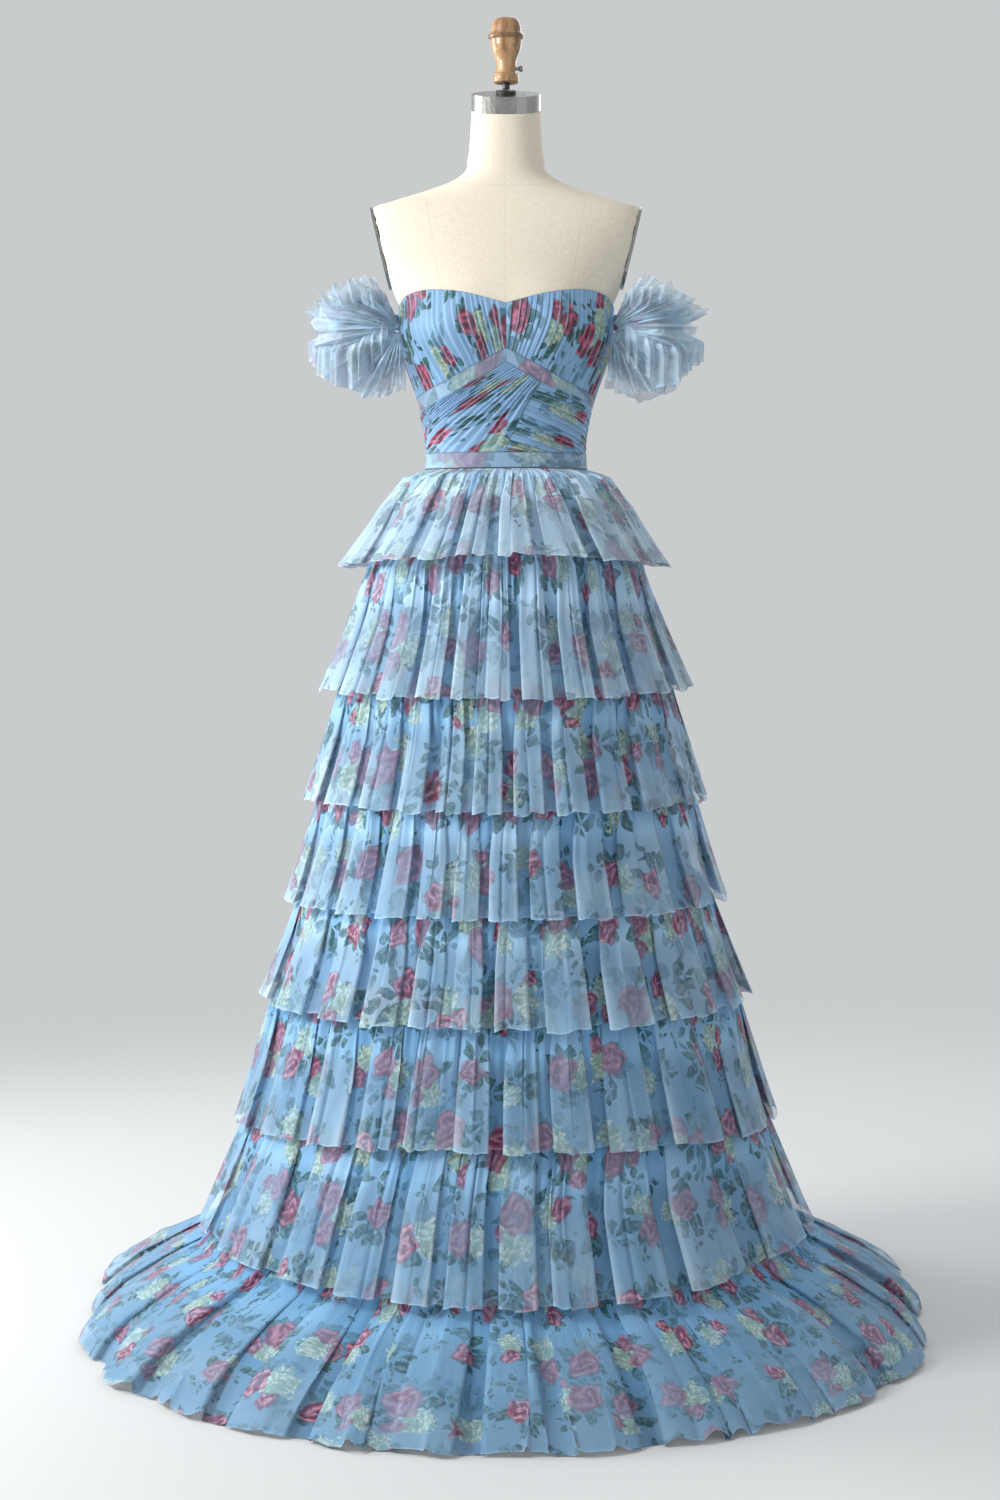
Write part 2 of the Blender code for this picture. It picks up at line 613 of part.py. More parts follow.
def seam_radius(azimuth, height, half_step):
    """Where a tier's gathered edge lies on the underskirt, so that its chords stay clear."""
    return (underskirt_radius(azimuth, height) + CLOTH_WALL + SEAM_GAP) / math.cos(half_step)


def build_tier(tier, collection):
    """A ruffle: gathered on the underskirt, out under the hem above, down to its own hem."""
    folds = fold_points(tier.name)
    rings = [[], [], []]
    for (place, recess, drop), half_step in zip(folds, half_steps(folds)):
        azimuth = wrap_azimuth(place)
        seam = seam_radius(azimuth, tier.seam, half_step)
        emerge = tier.emerge_r + train_reach(azimuth, tier.emerge)
        emerge -= EMERGE_FOLD_SHARE * tier.depth * recess
        front = front_share(azimuth)
        hem_height = tier.hem + (tier.hem_front - tier.hem) * front
        hem = tier.hem_r + tier.front_out * front + train_reach(azimuth, tier.hem)
        hem -= tier.depth * recess
        rings[0].append(polar_point(azimuth, seam, tier.seam))
        rings[1].append(polar_point(azimuth, emerge, tier.emerge))
        rings[2].append(polar_point(azimuth, hem, hem_height - HEM_STEP * drop))
    return add_cloth(tier.name, np.array(rings)[::-1], True, BLUE_TULLE, collection)


def build_surface_tier(name, seam, seam_ease, rows, front_rise, hem_step, collection):
    """The first and the last tier, whose curved sides need rings of their own."""
    folds = fold_points(name)
    rings = [[
        polar_point(wrap_azimuth(place),
                    seam_radius(wrap_azimuth(place), seam, half_step) + seam_ease, seam)
        for (place, _, _), half_step in zip(folds, half_steps(folds))]]
    for row in rows:
        ring = []
        share = (seam - row.height) / (seam - rows[-1].height)
        for place, recess, drop in folds:
            azimuth = wrap_azimuth(place)
            rise = front_rise * front_share(azimuth) - hem_step * drop
            radius = ring_radius(row, azimuth) - row.fold * recess
            ring.append(polar_point(azimuth, radius, row.height + share * rise))
        rings.append(ring)
    return add_cloth(name, np.array(rings)[::-1], True, BLUE_TULLE, collection)


# ---------------------------------------------------------------- bodice

def edge_height(table, azimuth):
    """An edge's height at an azimuth, from a table that both sides share."""
    rows = np.array(table, float)
    return smooth_table(rows[:, 0], rows[:, 1], min(abs(azimuth), rows[-1, 0]))


def bodice_point(azimuth, height, lift):
    """A point of a bodice sheet that lies on the form, lifted off it."""
    return polar_point(azimuth, form_radius(azimuth, height) + BODICE_SHEET + lift, height)


def pleat_share(along):
    """How high a pleat stands along its length: least at its two sewn ends."""
    return PLEAT_END_SHARE + (1.0 - PLEAT_END_SHARE) * math.sin(math.pi * along)


def bodice_sheet(starts, ends, rows, lifts, base=0.0):
    """Rows of points from a start edge to an end edge, each given as azimuth and height."""
    grid = []
    for row in range(rows + 1):
        share = row / rows
        grid.append([
            bodice_point(start[0] + (end[0] - start[0]) * share,
                         start[1] + (end[1] - start[1]) * share,
                         base + lift * pleat_share(share))
            for start, end, lift in zip(starts, ends, lifts)])
    return np.array(grid)


def pleat_lifts(pleats):
    """Heights across a run of pleats: a low point, then the pleat's two upper corners."""
    lifts = []
    for pleat in range(pleats):
        height = PLEAT_HEIGHT * UNEVEN[pleat % len(UNEVEN)]
        lifts += [0.0, height, 0.7 * height]
    return lifts + [0.0]


def pleat_shares(pleats):
    """Places across a run of pleats that go with pleat_lifts, from 0 to 1."""
    shares = []
    for pleat in range(pleats):
        shares += [pleat / pleats, (pleat + 0.30) / pleats, (pleat + 0.75) / pleats]
    return shares + [1.0]


def build_cup(name, side, collection):
    """A draped cup: its pleats fan down from the neckline to the underbust band."""
    starts, ends = [], []
    for share in pleat_shares(CUP_PLEATS):
        low = SEAM_TURN + (SIDE_SEAM - 2 * SEAM_TURN) * share ** 1.25
        high = SEAM_TURN + (SIDE_SEAM - 2 * SEAM_TURN) * share ** 0.85
        starts.append((side * low, edge_height(BAND_TOP, low) + SEAM_GAP / 2))
        ends.append((side * high, edge_height(NECKLINE, high)))
    points = bodice_sheet(starts, ends, 5, pleat_lifts(CUP_PLEATS))
    if side < 0.0:
        points = points[:, ::-1]
    return add_cloth(name, points, False, PLEATED_CHIFFON, collection)


def build_underbust_band(name, side, collection):
    """One half of the plain band under the bust, mitred at the centre front."""
    azimuths = [SEAM_TURN + (SIDE_SEAM - 2 * SEAM_TURN) * step / 12 for step in range(13)]
    starts = [(side * turn, edge_height(BAND_TOP, turn) - BAND_WIDTH) for turn in azimuths]
    ends = [(side * turn, edge_height(BAND_TOP, turn) - SEAM_GAP / 2) for turn in azimuths]
    points = bodice_sheet(starts, ends, 1, [0.0] * len(azimuths), BAND_LIFT)
    if side < 0.0:
        points = points[:, ::-1]
    return add_cloth(name, points, False, PLEATED_CHIFFON, collection)


def band_foot(azimuth):
    """The underbust band's lower edge, less a gap that its straight steps need."""
    return edge_height(BAND_TOP, azimuth) - BAND_WIDTH - BAND_CLEARANCE


def two_leg_path(corners, corner_share, share):
    """A point on a path of two straight legs whose corner lies at corner_share."""
    first, middle, last = corners
    if share <= corner_share:
        start, end, local = first, middle, share / corner_share
    else:
        start, end, local = middle, last, (share - corner_share) / (1.0 - corner_share)
    return (start[0] + (end[0] - start[0]) * local, start[1] + (end[1] - start[1]) * local)


def build_over_wrap(collection):
    """The upper drape: from the left side and waist up across the centre to the band."""
    foot = WAIST_HEIGHT + SEAM_GAP
    side = SIDE_SEAM - SEAM_TURN
    low_path = ((WRAP_EDGE_FOOT_AZIMUTH, foot), (-side, foot),
                (-side, band_foot(side) - WRAP_SEAM_RISE))
    high_path = ((WRAP_EDGE_TOP_AZIMUTH, 0.0), (0.0, 0.0), (-side, 0.0))
    starts, ends = [], []
    for share in pleat_shares(WRAP_PLEATS):
        starts.append(two_leg_path(low_path, WRAP_SIDE_SHARE, share))
        along = two_leg_path(high_path, WRAP_PEAK_SHARE, share)[0]
        ends.append((along, band_foot(along)))
    points = bodice_sheet(starts, ends, 6, pleat_lifts(WRAP_PLEATS), WRAP_LIFT)[:, ::-1]
    add_cloth("midriff_over", points, False, PLEATED_CHIFFON, collection)


def build_under_wrap(collection):
    """The lower drape, right of the over wrap's free edge, pleated down to the right."""
    foot = WAIST_HEIGHT + 3 * SEAM_GAP
    side = SIDE_SEAM - SEAM_TURN
    top = WRAP_EDGE_TOP_AZIMUTH + 3 * SEAM_TURN
    bottom = WRAP_EDGE_FOOT_AZIMUTH + 3 * SEAM_TURN
    far_path = ((side, band_foot(side)), (side, foot), (bottom + 12.0, foot))
    rows = 6
    grid = []
    for row in range(rows + 1):
        along = row / rows
        line = []
        for share, lift in zip(pleat_shares(UNDER_PLEATS), pleat_lifts(UNDER_PLEATS)):
            near = (top + (bottom - top) * share, band_foot(top) + (foot - band_foot(top)) * share)
            far = two_leg_path(far_path, WRAP_SIDE_SHARE, share)
            azimuth = near[0] + (far[0] - near[0]) * along
            height = near[1] + (far[1] - near[1]) * along
            straight = band_foot(top) + (band_foot(side) - band_foot(top)) * along
            first = top + (side - top) * along
            height -= (1.0 - share) ** 2 * (straight - band_foot(first))
            height = max(height, foot)
            line.append(bodice_point(azimuth, height, WRAP_LIFT + lift * pleat_share(along)))
        grid.append(line)
    add_cloth("midriff_under", np.array(grid)[:, ::-1], False, PLEATED_CHIFFON, collection)


def build_waistband(collection):
    """The plain flat band round the waist, open by a zip's width at the centre back."""
    steps = 44
    reach = CENTRE_BACK - WAISTBAND_OPENING
    azimuths = [-reach + 2.0 * reach * step / steps for step in range(steps + 1)]
    heights = (WAIST_HEIGHT - WAISTBAND_WIDTH, WAIST_HEIGHT)
    points = np.array([
        [bodice_point(azimuth, height, WAISTBAND_LIFT) for azimuth in azimuths]
        for height in heights])
    return add_cloth("waistband", points, False, BLUE_TULLE, collection)


def build_backs(collection):
    """The two smooth back panels, from the side seams to the zip."""
    foot = WAIST_HEIGHT + SEAM_GAP
    for name, side in (("back_left", -1.0), ("back_right", 1.0)):
        turns = [SIDE_SEAM + SEAM_TURN, *range(100, 180, 10), CENTRE_BACK - BACK_OPENING]
        starts = [(side * turn, foot) for turn in turns]
        ends = [(side * turn, edge_height(NECKLINE, turn)) for turn in turns]
        points = bodice_sheet(starts, ends, 10, [0.0] * len(turns))
        if side < 0.0:
            points = points[:, ::-1]
        add_cloth(name, points, False, PLEATED_CHIFFON, collection)


def zip_face():
    """The outer face of the back panels at the zip slider."""
    return form_radius(CENTRE_BACK, ZIP_TOP) + BODICE_SHEET + CLOTH_WALL / 2


def build_zip_slider(parts, cutters):
    """The slider on the centre-back seam, with two ears that carry the pull."""
    face = zip_face() + SEAM_GAP
    lean = math.atan2(form_radius(CENTRE_BACK, ZIP_TOP + 0.01)
                      - form_radius(CENTRE_BACK, ZIP_TOP - 0.01), 0.02)
    bpy.ops.mesh.primitive_cube_add(size=1.0)
    slider = adopt_active("zip_slider", BLUE_ENAMEL, parts)
    size = Matrix.Diagonal((SLIDER_WIDTH, SLIDER_DEPTH, SLIDER_LENGTH, 1.0))
    slider.data.transform(Matrix.Rotation(-lean, 4, "X") @ size)
    slider.location = (0.0, face + SLIDER_DEPTH / 2, ZIP_TOP)
    soften = slider.modifiers.new("soften", "BEVEL")
    soften.width = 0.0006
    soften.segments = 2
    for label, side in (("left", -1.0), ("right", 1.0)):
        bpy.ops.mesh.primitive_cube_add(size=1.0)
        ear = adopt_active("zip_ear_" + label, BLUE_ENAMEL, cutters)
        ear.data.transform(Matrix.Diagonal((*EAR_SIZE, 1.0)))
        out = face + SLIDER_DEPTH - EAR_SINK + EAR_SIZE[1] / 2.0
        ear.location = (side * EAR_ASIDE, out, ZIP_TOP + PULL_PIVOT_RISE)
        ear.hide_render = True
        ear.display_type = "WIRE"
        join = slider.modifiers.new("ear_" + label, "BOOLEAN")
        join.operation = "UNION"
        join.object = ear


def build_zip_pull(collection):
    """The pull tab, hanging from the slider; its origin lies on its hinge axis."""
    outline = bpy.data.curves.new("zip_pull", "CURVE")
    outline.dimensions = "2D"
    outline.fill_mode = "BOTH"
    outline.extrude = PULL_THICKNESS / 2
    spline = outline.splines.new("POLY")
    right = ((0.0019, 0.0006), (0.0019, -0.0030), (0.0034, -0.0110), (0.0036, -0.0185),
             (0.0022, 0.0006 - PULL_LENGTH))
    corners = list(right) + [(-width, along) for width, along in reversed(right)]
    spline.points.add(len(corners) - 1)
    for point, (width, along) in zip(spline.points, corners):
        point.co = (width, along, 0.0, 1.0)
    spline.use_cyclic_u = True
    flat = bpy.data.objects.new("zip_pull_outline", outline)
    collection.objects.link(flat)
    bpy.context.view_layer.update()
    source = flat.evaluated_get(bpy.context.evaluated_depsgraph_get())
    mesh = bpy.data.meshes.new_from_object(source)
    bpy.data.objects.remove(flat, do_unlink=True)
    weld = bmesh.new()
    weld.from_mesh(mesh)
    bmesh.ops.remove_doubles(weld, verts=weld.verts, dist=MERGE_DISTANCE)
    bmesh.ops.transform(weld, matrix=Matrix.Rotation(math.pi / 2.0, 4, "X"), verts=weld.verts)
    bmesh.ops.recalc_face_normals(weld, faces=weld.faces)
    weld.to_mesh(mesh)
    weld.free()
    pull = add_object("zip_pull", mesh, BLUE_ENAMEL, collection)
    out = zip_face() + SEAM_GAP + SLIDER_DEPTH + SEAM_GAP + PULL_THICKNESS / 2
    pull.location = (0.0, out, ZIP_TOP + PULL_PIVOT_RISE)


# ---------------------------------------------------------------- sleeves

SleeveRow = namedtuple("SleeveRow", "rise out wave")
SLEEVE_RUFFLES = {
    "upper": (SleeveRow(0.0075, 0.0000, 0.0), SleeveRow(0.030, 0.020, 0.004),
              SleeveRow(0.050, 0.034, 0.008)),
    "lower": (SleeveRow(-0.0075, 0.0000, 0.0), SleeveRow(-0.045, 0.024, 0.005),
              SleeveRow(-0.098, 0.034, 0.010)),
}
SLEEVE_WAVES = 5
RuffleStep = namedtuple("RuffleStep", "share level")
RUFFLE_WAVE = (RuffleStep(0.0, -1.0), RuffleStep(0.28, 0.6), RuffleStep(0.66, 1.0))


def loop_centre_point(side, phase):
    """A point on the gathered loop; phase 0 is its outermost place, + to the back."""
    turn = math.radians(phase)
    rise = LOOP_END_RISE - LOOP_SAG * math.cos(turn / 2.0) ** 2
    return Vector((side * (LOOP_CENTRE_X + LOOP_HALF_WIDTH * math.cos(turn)),
                   LOOP_HALF_DEPTH * math.sin(turn), LOOP_HEIGHT + rise))


def loop_outward(side, phase):
    """The direction a ruffle leans: away from the loop's middle and away from the form."""
    turn = math.radians(phase)
    return Vector((side * (0.72 * math.cos(turn) + 0.42), math.sin(turn), 0.0)).normalized()


def build_loop(name, side, collection):
    """The gathered band that goes round the arm and meets the bodice front and back."""
    steps = 20
    half = LOOP_BAND_THICKNESS / 2.0
    tall = LOOP_BAND_HALF_HEIGHT
    flat = LOOP_BAND_FLAT_SHARE * tall
    section = ((half, -flat), (half, flat), (0.0, tall), (-half, flat), (-half, -flat),
               (0.0, -tall))
    mesh = bpy.data.meshes.new(name)
    tube = bmesh.new()
    loops = []
    for step in range(steps + 1):
        phase = -LOOP_END_DEG + 2.0 * LOOP_END_DEG * step / steps
        centre = loop_centre_point(side, phase)
        turn = math.radians(phase)
        across = Vector((side * math.cos(turn), math.sin(turn), 0.0)).normalized()
        loops.append([tube.verts.new(centre + across * out + Vector((0.0, 0.0, up)))
                      for out, up in section])
    for lower, upper in zip(loops, loops[1:]):
        for corner in range(len(section)):
            following = (corner + 1) % len(section)
            tube.faces.new((lower[corner], lower[following], upper[following], upper[corner]))
    tube.faces.new(loops[0])
    tube.faces.new(loops[-1])
    bmesh.ops.recalc_face_normals(tube, faces=tube.faces)
    tube.to_mesh(mesh)
    tube.free()
    return add_object(name, mesh, BLUE_TULLE, collection)


def build_ruffle(name, side, rows, collection):
    """A fan of cloth that leaves the loop upwards or downwards in waves."""
    phases, waves = [], []
    for wave in range(SLEEVE_WAVES):
        for step in RUFFLE_WAVE:
            place = (wave + step.share) / SLEEVE_WAVES
            phases.append(-RUFFLE_END_DEG + 2.0 * RUFFLE_END_DEG * place)
            waves.append(step.level * UNEVEN[wave % len(UNEVEN)])
    phases.append(RUFFLE_END_DEG)
    waves.append(-1.0)
    grid = []
    for row in rows:
        line = []
        for phase, wave in zip(phases, waves):
            lean = loop_outward(side, phase)
            full = 0.45 + 0.55 * math.cos(math.radians(phase) / 2.0) ** 2
            out = row.out * full + row.wave * wave
            point = loop_centre_point(side, phase) + lean * out
            point.z += row.rise * (0.86 + 0.14 * full)
            line.append(tuple(point))
        grid.append(line)
    points = np.array(grid)
    if (rows[-1].rise > 0.0) != (side > 0.0):
        points = points[::-1]
    return add_cloth(name, points, False, BLUE_TULLE, collection)


def build_sleeves(collection):
    """Both off-the-shoulder sleeves: a loop with an upper and a lower ruffle each."""
    for label, side in (("left", -1.0), ("right", 1.0)):
        build_loop("sleeve_" + label + "_loop", side, collection)
        for level, rows in SLEEVE_RUFFLES.items():
            build_ruffle("sleeve_" + label + "_" + level, side, rows, collection)


def main():
    parts, cutters = clear_scene()
    build_stand(parts)
    build_form(parts)
    build_neck_hardware(parts)
    build_rod(parts)
    build_finial(parts, cutters)
    build_thumb_screw(parts)
    build_arm_plates(parts)
    build_underskirt(parts)
    build_surface_tier("tier_1", TIER_1_SEAM, WAIST_GATHER_EASE, TIER_1_RINGS,
                       TIER_1_FRONT_RISE, HEM_STEP, parts)
    for tier in TIERS:
        build_tier(tier, parts)
    build_surface_tier("tier_8", TIER_8_SEAM, TRAIN_GATHER_EASE, TIER_8_RINGS, 0.0, 0.0, parts)
    build_cup("cup_left", -1.0, parts)
    build_cup("cup_right", 1.0, parts)
    build_underbust_band("underbust_band_left", -1.0, parts)
    build_underbust_band("underbust_band_right", 1.0, parts)
    build_over_wrap(parts)
    build_under_wrap(parts)
    build_waistband(parts)
    build_backs(parts)
    build_zip_slider(parts, cutters)
    build_zip_pull(parts)
    build_sleeves(parts)


main()
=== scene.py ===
"""Looks of a tiered, printed tulle prom dress on its dress form and stand.

Metres, +Z up, the dress faces -Y. Azimuths are degrees round the pole: 0 is the front and
90 is +X. Every cloth piece is a grid surface worked out with numpy: rows run up the cloth,
columns run round it or across its pleats. Its UV map is in metres along the flat cloth.
"""
import math

import bpy
import numpy as np
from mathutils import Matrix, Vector


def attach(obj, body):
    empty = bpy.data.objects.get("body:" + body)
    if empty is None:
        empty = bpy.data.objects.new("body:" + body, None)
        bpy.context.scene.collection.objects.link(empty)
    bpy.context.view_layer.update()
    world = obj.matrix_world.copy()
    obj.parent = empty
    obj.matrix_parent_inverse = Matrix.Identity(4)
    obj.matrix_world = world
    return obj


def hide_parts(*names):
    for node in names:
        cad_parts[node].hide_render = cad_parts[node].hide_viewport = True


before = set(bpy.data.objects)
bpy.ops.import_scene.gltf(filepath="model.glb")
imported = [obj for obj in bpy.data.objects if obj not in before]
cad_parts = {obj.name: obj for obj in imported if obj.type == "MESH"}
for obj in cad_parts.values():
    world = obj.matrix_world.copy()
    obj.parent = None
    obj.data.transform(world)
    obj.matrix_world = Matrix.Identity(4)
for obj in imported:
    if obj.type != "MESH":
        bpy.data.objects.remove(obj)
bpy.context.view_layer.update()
scene = bpy.context.scene
BODY = "dress_on_form"

# ---- sizes

CLOTH_WALL = 0.0020
SEAM_GAP = 0.0004
BODICE_LIFT = 0.0024        # middle of the bodice's cloth off the form
WAIST_HEIGHT = 1.2205
WAISTBAND_WIDTH = 0.0205
BUST_HEIGHT, BUST_AZIMUTH, BUST_FULLNESS = 1.385, 36.0, 0.022
BUST_SPREAD_DEG, BUST_SPREAD_UP = 20.0, 0.036
FORM_SQUARENESS = 2.2
PLATE_BASE_HEIGHT, PLATE_BASE_X, PLATE_LEAN = 1.447, 0.1565, 0.236
FLAT_START_HEIGHT = 1.417
NECK_FOOT, NECK_TOP, NECK_TILT = 1.604, 1.6905, math.radians(15.0)
TRAIN_LENGTH, TRAIN_DECAY, TRAIN_START_AZIMUTH = 0.320, 0.110, 85.0
OVAL_FADE_LOW, OVAL_FADE_HIGH = 1.10, 1.19
SIDE_SEAM = 95.0
BAND_WIDTH = 0.018
LEAST_SHARE = 0.32           # of a flat cloth's area that a gathered sheet may show

# height, half_width, front, back
FORM_SECTIONS = np.array((
    (0.800, 0.1480, 0.104, 0.116), (0.900, 0.1560, 0.108, 0.124),
    (1.000, 0.1560, 0.106, 0.122), (1.080, 0.1440, 0.098, 0.110),
    (1.150, 0.1200, 0.086, 0.092), (1.205, 0.1065, 0.078, 0.080),
    (1.256, 0.1095, 0.082, 0.079), (1.305, 0.1225, 0.089, 0.081),
    (1.345, 0.1355, 0.095, 0.084), (1.385, 0.1435, 0.100, 0.087),
    (1.420, 0.1455, 0.098, 0.089), (1.447, 0.1575, 0.095, 0.091),
    (1.480, 0.1800, 0.090, 0.093), (1.515, 0.1980, 0.083, 0.091),
    (1.540, 0.2000, 0.073, 0.083), (1.556, 0.1900, 0.062, 0.074),
    (1.568, 0.1520, 0.054, 0.067), (1.580, 0.1120, 0.050, 0.061),
    (1.592, 0.0780, 0.048, 0.056), (1.604, 0.0590, 0.047, 0.052),
    (1.625, 0.0525, 0.0470, 0.0495), (1.660, 0.0490, 0.0465, 0.0480),
    (1.6905, 0.0472, 0.0468, 0.0468),
))
# height, half_width, front, back, from the waist down
LINING_RINGS = np.array((
    (1.1985, 0.1108, 0.0822, 0.0842), (1.150, 0.1310, 0.110, 0.115),
    (1.102, 0.160, 0.150, 0.155), (0.933, 0.203, 0.203, 0.203), (0.782, 0.233, 0.233, 0.233),
    (0.645, 0.259, 0.259, 0.259), (0.510, 0.295, 0.295, 0.295), (0.362, 0.331, 0.331, 0.331),
    (0.190, 0.378, 0.378, 0.378), (0.100, 0.400, 0.400, 0.400), (0.050, 0.412, 0.412, 0.412),
    (0.012, 0.425, 0.425, 0.425),
))


# ---- mesh making

def grid_mesh(name, points, material, closed):
    """A linked object from rows of points, four-sided between neighbours. closed joins the
    last column to the first."""
    rows, columns, _ = points.shape
    spans = columns if closed else columns - 1
    row, column = np.meshgrid(np.arange(rows - 1), np.arange(spans), indexing="ij")
    low = row * columns + column
    low_next = row * columns + (column + 1) % columns
    faces = np.stack((low, low_next, low_next + columns, low + columns), -1).reshape(-1, 4)
    mesh = bpy.data.meshes.new(name)
    mesh.from_pydata(points.reshape(-1, 3), [], faces)
    mesh.materials.append(material)
    piece = bpy.data.objects.new(name, mesh)
    scene.collection.objects.link(piece)
    return piece


def grid_piece(name, points, uv, material, closed, replaces=(), marks=None,
               body=BODY):
    """A piece of the part from rows of points. A closed piece's UVs have one column more
    than its points. marks are named values for each point."""
    piece = grid_mesh(name, points, material, closed)
    mesh, spans = piece.data, uv.shape[1] - 1
    corners = np.stack((uv[:-1, :-1], uv[:-1, 1:], uv[1:, 1:], uv[1:, :-1]), 2)
    layer = mesh.uv_layers.new(name="cloth")
    layer.data.foreach_set("uv", corners[:, :spans].reshape(-1).astype(np.float32))
    for mark, values in (marks or {}).items():
        attribute = mesh.attributes.new(mark, "FLOAT", "POINT")
        attribute.data.foreach_set("value", values.reshape(-1).astype(np.float32))
    mesh.shade_smooth()
    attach(piece, body)
    if replaces:
        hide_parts(*replaces)
    return piece


def along(points, axis):
    """Length run up to each point along an axis of a grid, in metres."""
    steps = np.linalg.norm(np.diff(points, axis=axis), axis=-1)
    pad = [(0, 0)] * steps.ndim
    pad[axis] = (1, 0)
    return np.cumsum(np.pad(steps, pad), axis=axis)


def ring_closed(line):
    """A closed line's points, with the first one again at its end."""
    return np.concatenate((line, line[:1]))


def flat_map(across, up):
    """UVs of a grid: the run across it for its columns and the run up it for its rows."""
    return np.stack(np.broadcast_arrays(across[None, :], up[:, None]), -1)


def capped(points):
    """Closed rows with one more at each end, drawn together at that end's middle."""
    first, last = (np.broadcast_to(points[index].mean(axis=0), (1,) + points.shape[1:])
                   for index in (0, -1))
    return np.concatenate((first, points, last))


def surface_area(points, closed):
    """Area of a grid surface: two triangles for each of its four-sided faces."""
    if closed:
        points = np.concatenate((points, points[:, :1]), 1)
    a, b, c, d = points[:-1, :-1], points[:-1, 1:], points[1:, 1:], points[1:, :-1]
    return 0.5 * float((np.linalg.norm(np.cross(b - a, c - a), axis=-1)
                        + np.linalg.norm(np.cross(c - a, d - a), axis=-1)).sum())


def gathered_sheet(name, points, closed, rim, offsets, material, replaces, marks):
    """Its flat cloth is as wide as its rim, a line of points, and as long as its columns on the
    mean. offsets move its print."""
    across, up = along(rim, 0), along(points, 0).mean(axis=1)
    uv = flat_map(across + offsets[0], up + offsets[1])
    marks = {mark: np.broadcast_to(values, points.shape[:2]) for mark, values in marks.items()}
    piece = grid_piece(name, points, uv, material, closed, replaces, marks)
    width, length = float(across[-1]), float(up[-1])
    share = float(np.clip(surface_area(points, closed) / (width * length), LEAST_SHARE, 1.0))


# ---- surfaces

def smooth_step(x, low, high):
    """0 below low, 1 above high, and a soft slope between them."""
    t = np.clip((x - low) / (high - low), 0.0, 1.0)
    return t * t * (3.0 - 2.0 * t)


def table_curve(xs, ys, at):
    """Cubic through a table's rows, with each slope taken from the row's neighbours."""
    slopes = np.gradient(ys, xs)
    at = np.clip(at, xs[0], xs[-1])
    place = np.clip(np.searchsorted(xs, at) - 1, 0, len(xs) - 2)
    span = xs[place + 1] - xs[place]
    t = (at - xs[place]) / span
    return ((2 * t**3 - 3 * t**2 + 1) * ys[place] + (t**3 - 2 * t**2 + t) * slopes[place] * span
            + (3 * t**2 - 2 * t**3) * ys[place + 1] + (t**3 - t**2) * slopes[place + 1] * span)


def oval_radius(azimuth, half_width, front, back, power):
    """Distance from the pole to a superellipse with unlike front and back depths."""
    turn = np.radians(azimuth)
    depth = np.where(np.cos(turn) >= 0.0, front, back)
    return ((np.abs(np.sin(turn)) / half_width) ** power
            + (np.abs(np.cos(turn)) / depth) ** power) ** (-1.0 / power)


def form_radius(azimuth, height):
    """The dress form's distance from the pole: an oval between the sections, plus a bell
    curve for each breast, cut off by a leaning plane at each armhole."""
    heights = FORM_SECTIONS[:, 0]
    half_width, front, back = (table_curve(heights, FORM_SECTIONS[:, k], height)
                               for k in (1, 2, 3))
    radius = oval_radius(azimuth, half_width, front, back, FORM_SQUARENESS)
    for side in (-1.0, 1.0):
        aside = (azimuth - side * BUST_AZIMUTH) / BUST_SPREAD_DEG
        above = (height - BUST_HEIGHT) / BUST_SPREAD_UP
        radius = radius + BUST_FULLNESS * np.exp(-0.5 * (aside**2 + above**2))
    limit = (PLATE_BASE_X + PLATE_LEAN * (height - PLATE_BASE_HEIGHT)) / np.maximum(
        np.abs(np.sin(np.radians(azimuth))), 0.01)
    return np.where(height > FLAT_START_HEIGHT, np.minimum(radius, limit), radius)


def train_reach(azimuth, height):
    """How far the train carries a ring backwards: most on the floor, less by a power of e
    upwards, and from nothing at the sides to all of it at the back by a soft step."""
    away = np.abs((azimuth + 180.0) % 360.0 - 180.0)
    return TRAIN_LENGTH * np.exp(-height / TRAIN_DECAY) * smooth_step(
        away, TRAIN_START_AZIMUTH, 180.0)


def ring_power(height):
    """Skirt sections match the form's oval at the waist and are round below."""
    share = np.clip((height - OVAL_FADE_LOW) / (OVAL_FADE_HIGH - OVAL_FADE_LOW), 0.0, 1.0)
    return 2.0 + (FORM_SQUARENESS - 2.0) * share


def polar(azimuth, radius, height):
    """Points at an azimuth and a distance from the pole."""
    turn, radius, height = np.broadcast_arrays(np.radians(azimuth), radius, height)
    return np.stack((radius * np.sin(turn), -radius * np.cos(turn), height), -1)


def front_share(azimuth):
    """1 at the front, 0 at the sides and behind: the cosine of the azimuth."""
    return np.maximum(np.cos(np.radians(azimuth)), 0.0)


def lining_radius(azimuth, height):
    """The lining's distance from the pole: an oval between its rings, plus the train."""
    rows = LINING_RINGS[::-1]
    half_width, front, back = (np.interp(height, rows[:, 0], rows[:, k]) for k in (1, 2, 3))
    return (oval_radius(azimuth, half_width, front, back, ring_power(height))
            + train_reach(azimuth, height))


def blur_columns(values):
    """Averages each column with its two neighbours, which rounds creases."""
    return 0.25 * np.roll(values, 1, -1) + 0.5 * values + 0.25 * np.roll(values, -1, -1)


# ---- material nets

class Value:
    """A number in a material. Arithmetic on it adds Math nodes."""

    def __init__(self, net, socket):
        self.net = net
        self.socket = socket

    def __add__(self, other):
        return self.net.math("ADD", self, other)

    def __sub__(self, other):
        return self.net.math("SUBTRACT", self, other)

    def __rsub__(self, other):
        return self.net.math("SUBTRACT", other, self)

    def __mul__(self, other):
        return self.net.math("MULTIPLY", self, other)

    def __truediv__(self, other):
        return self.net.math("DIVIDE", self, other)

    __radd__ = __add__
    __rmul__ = __mul__


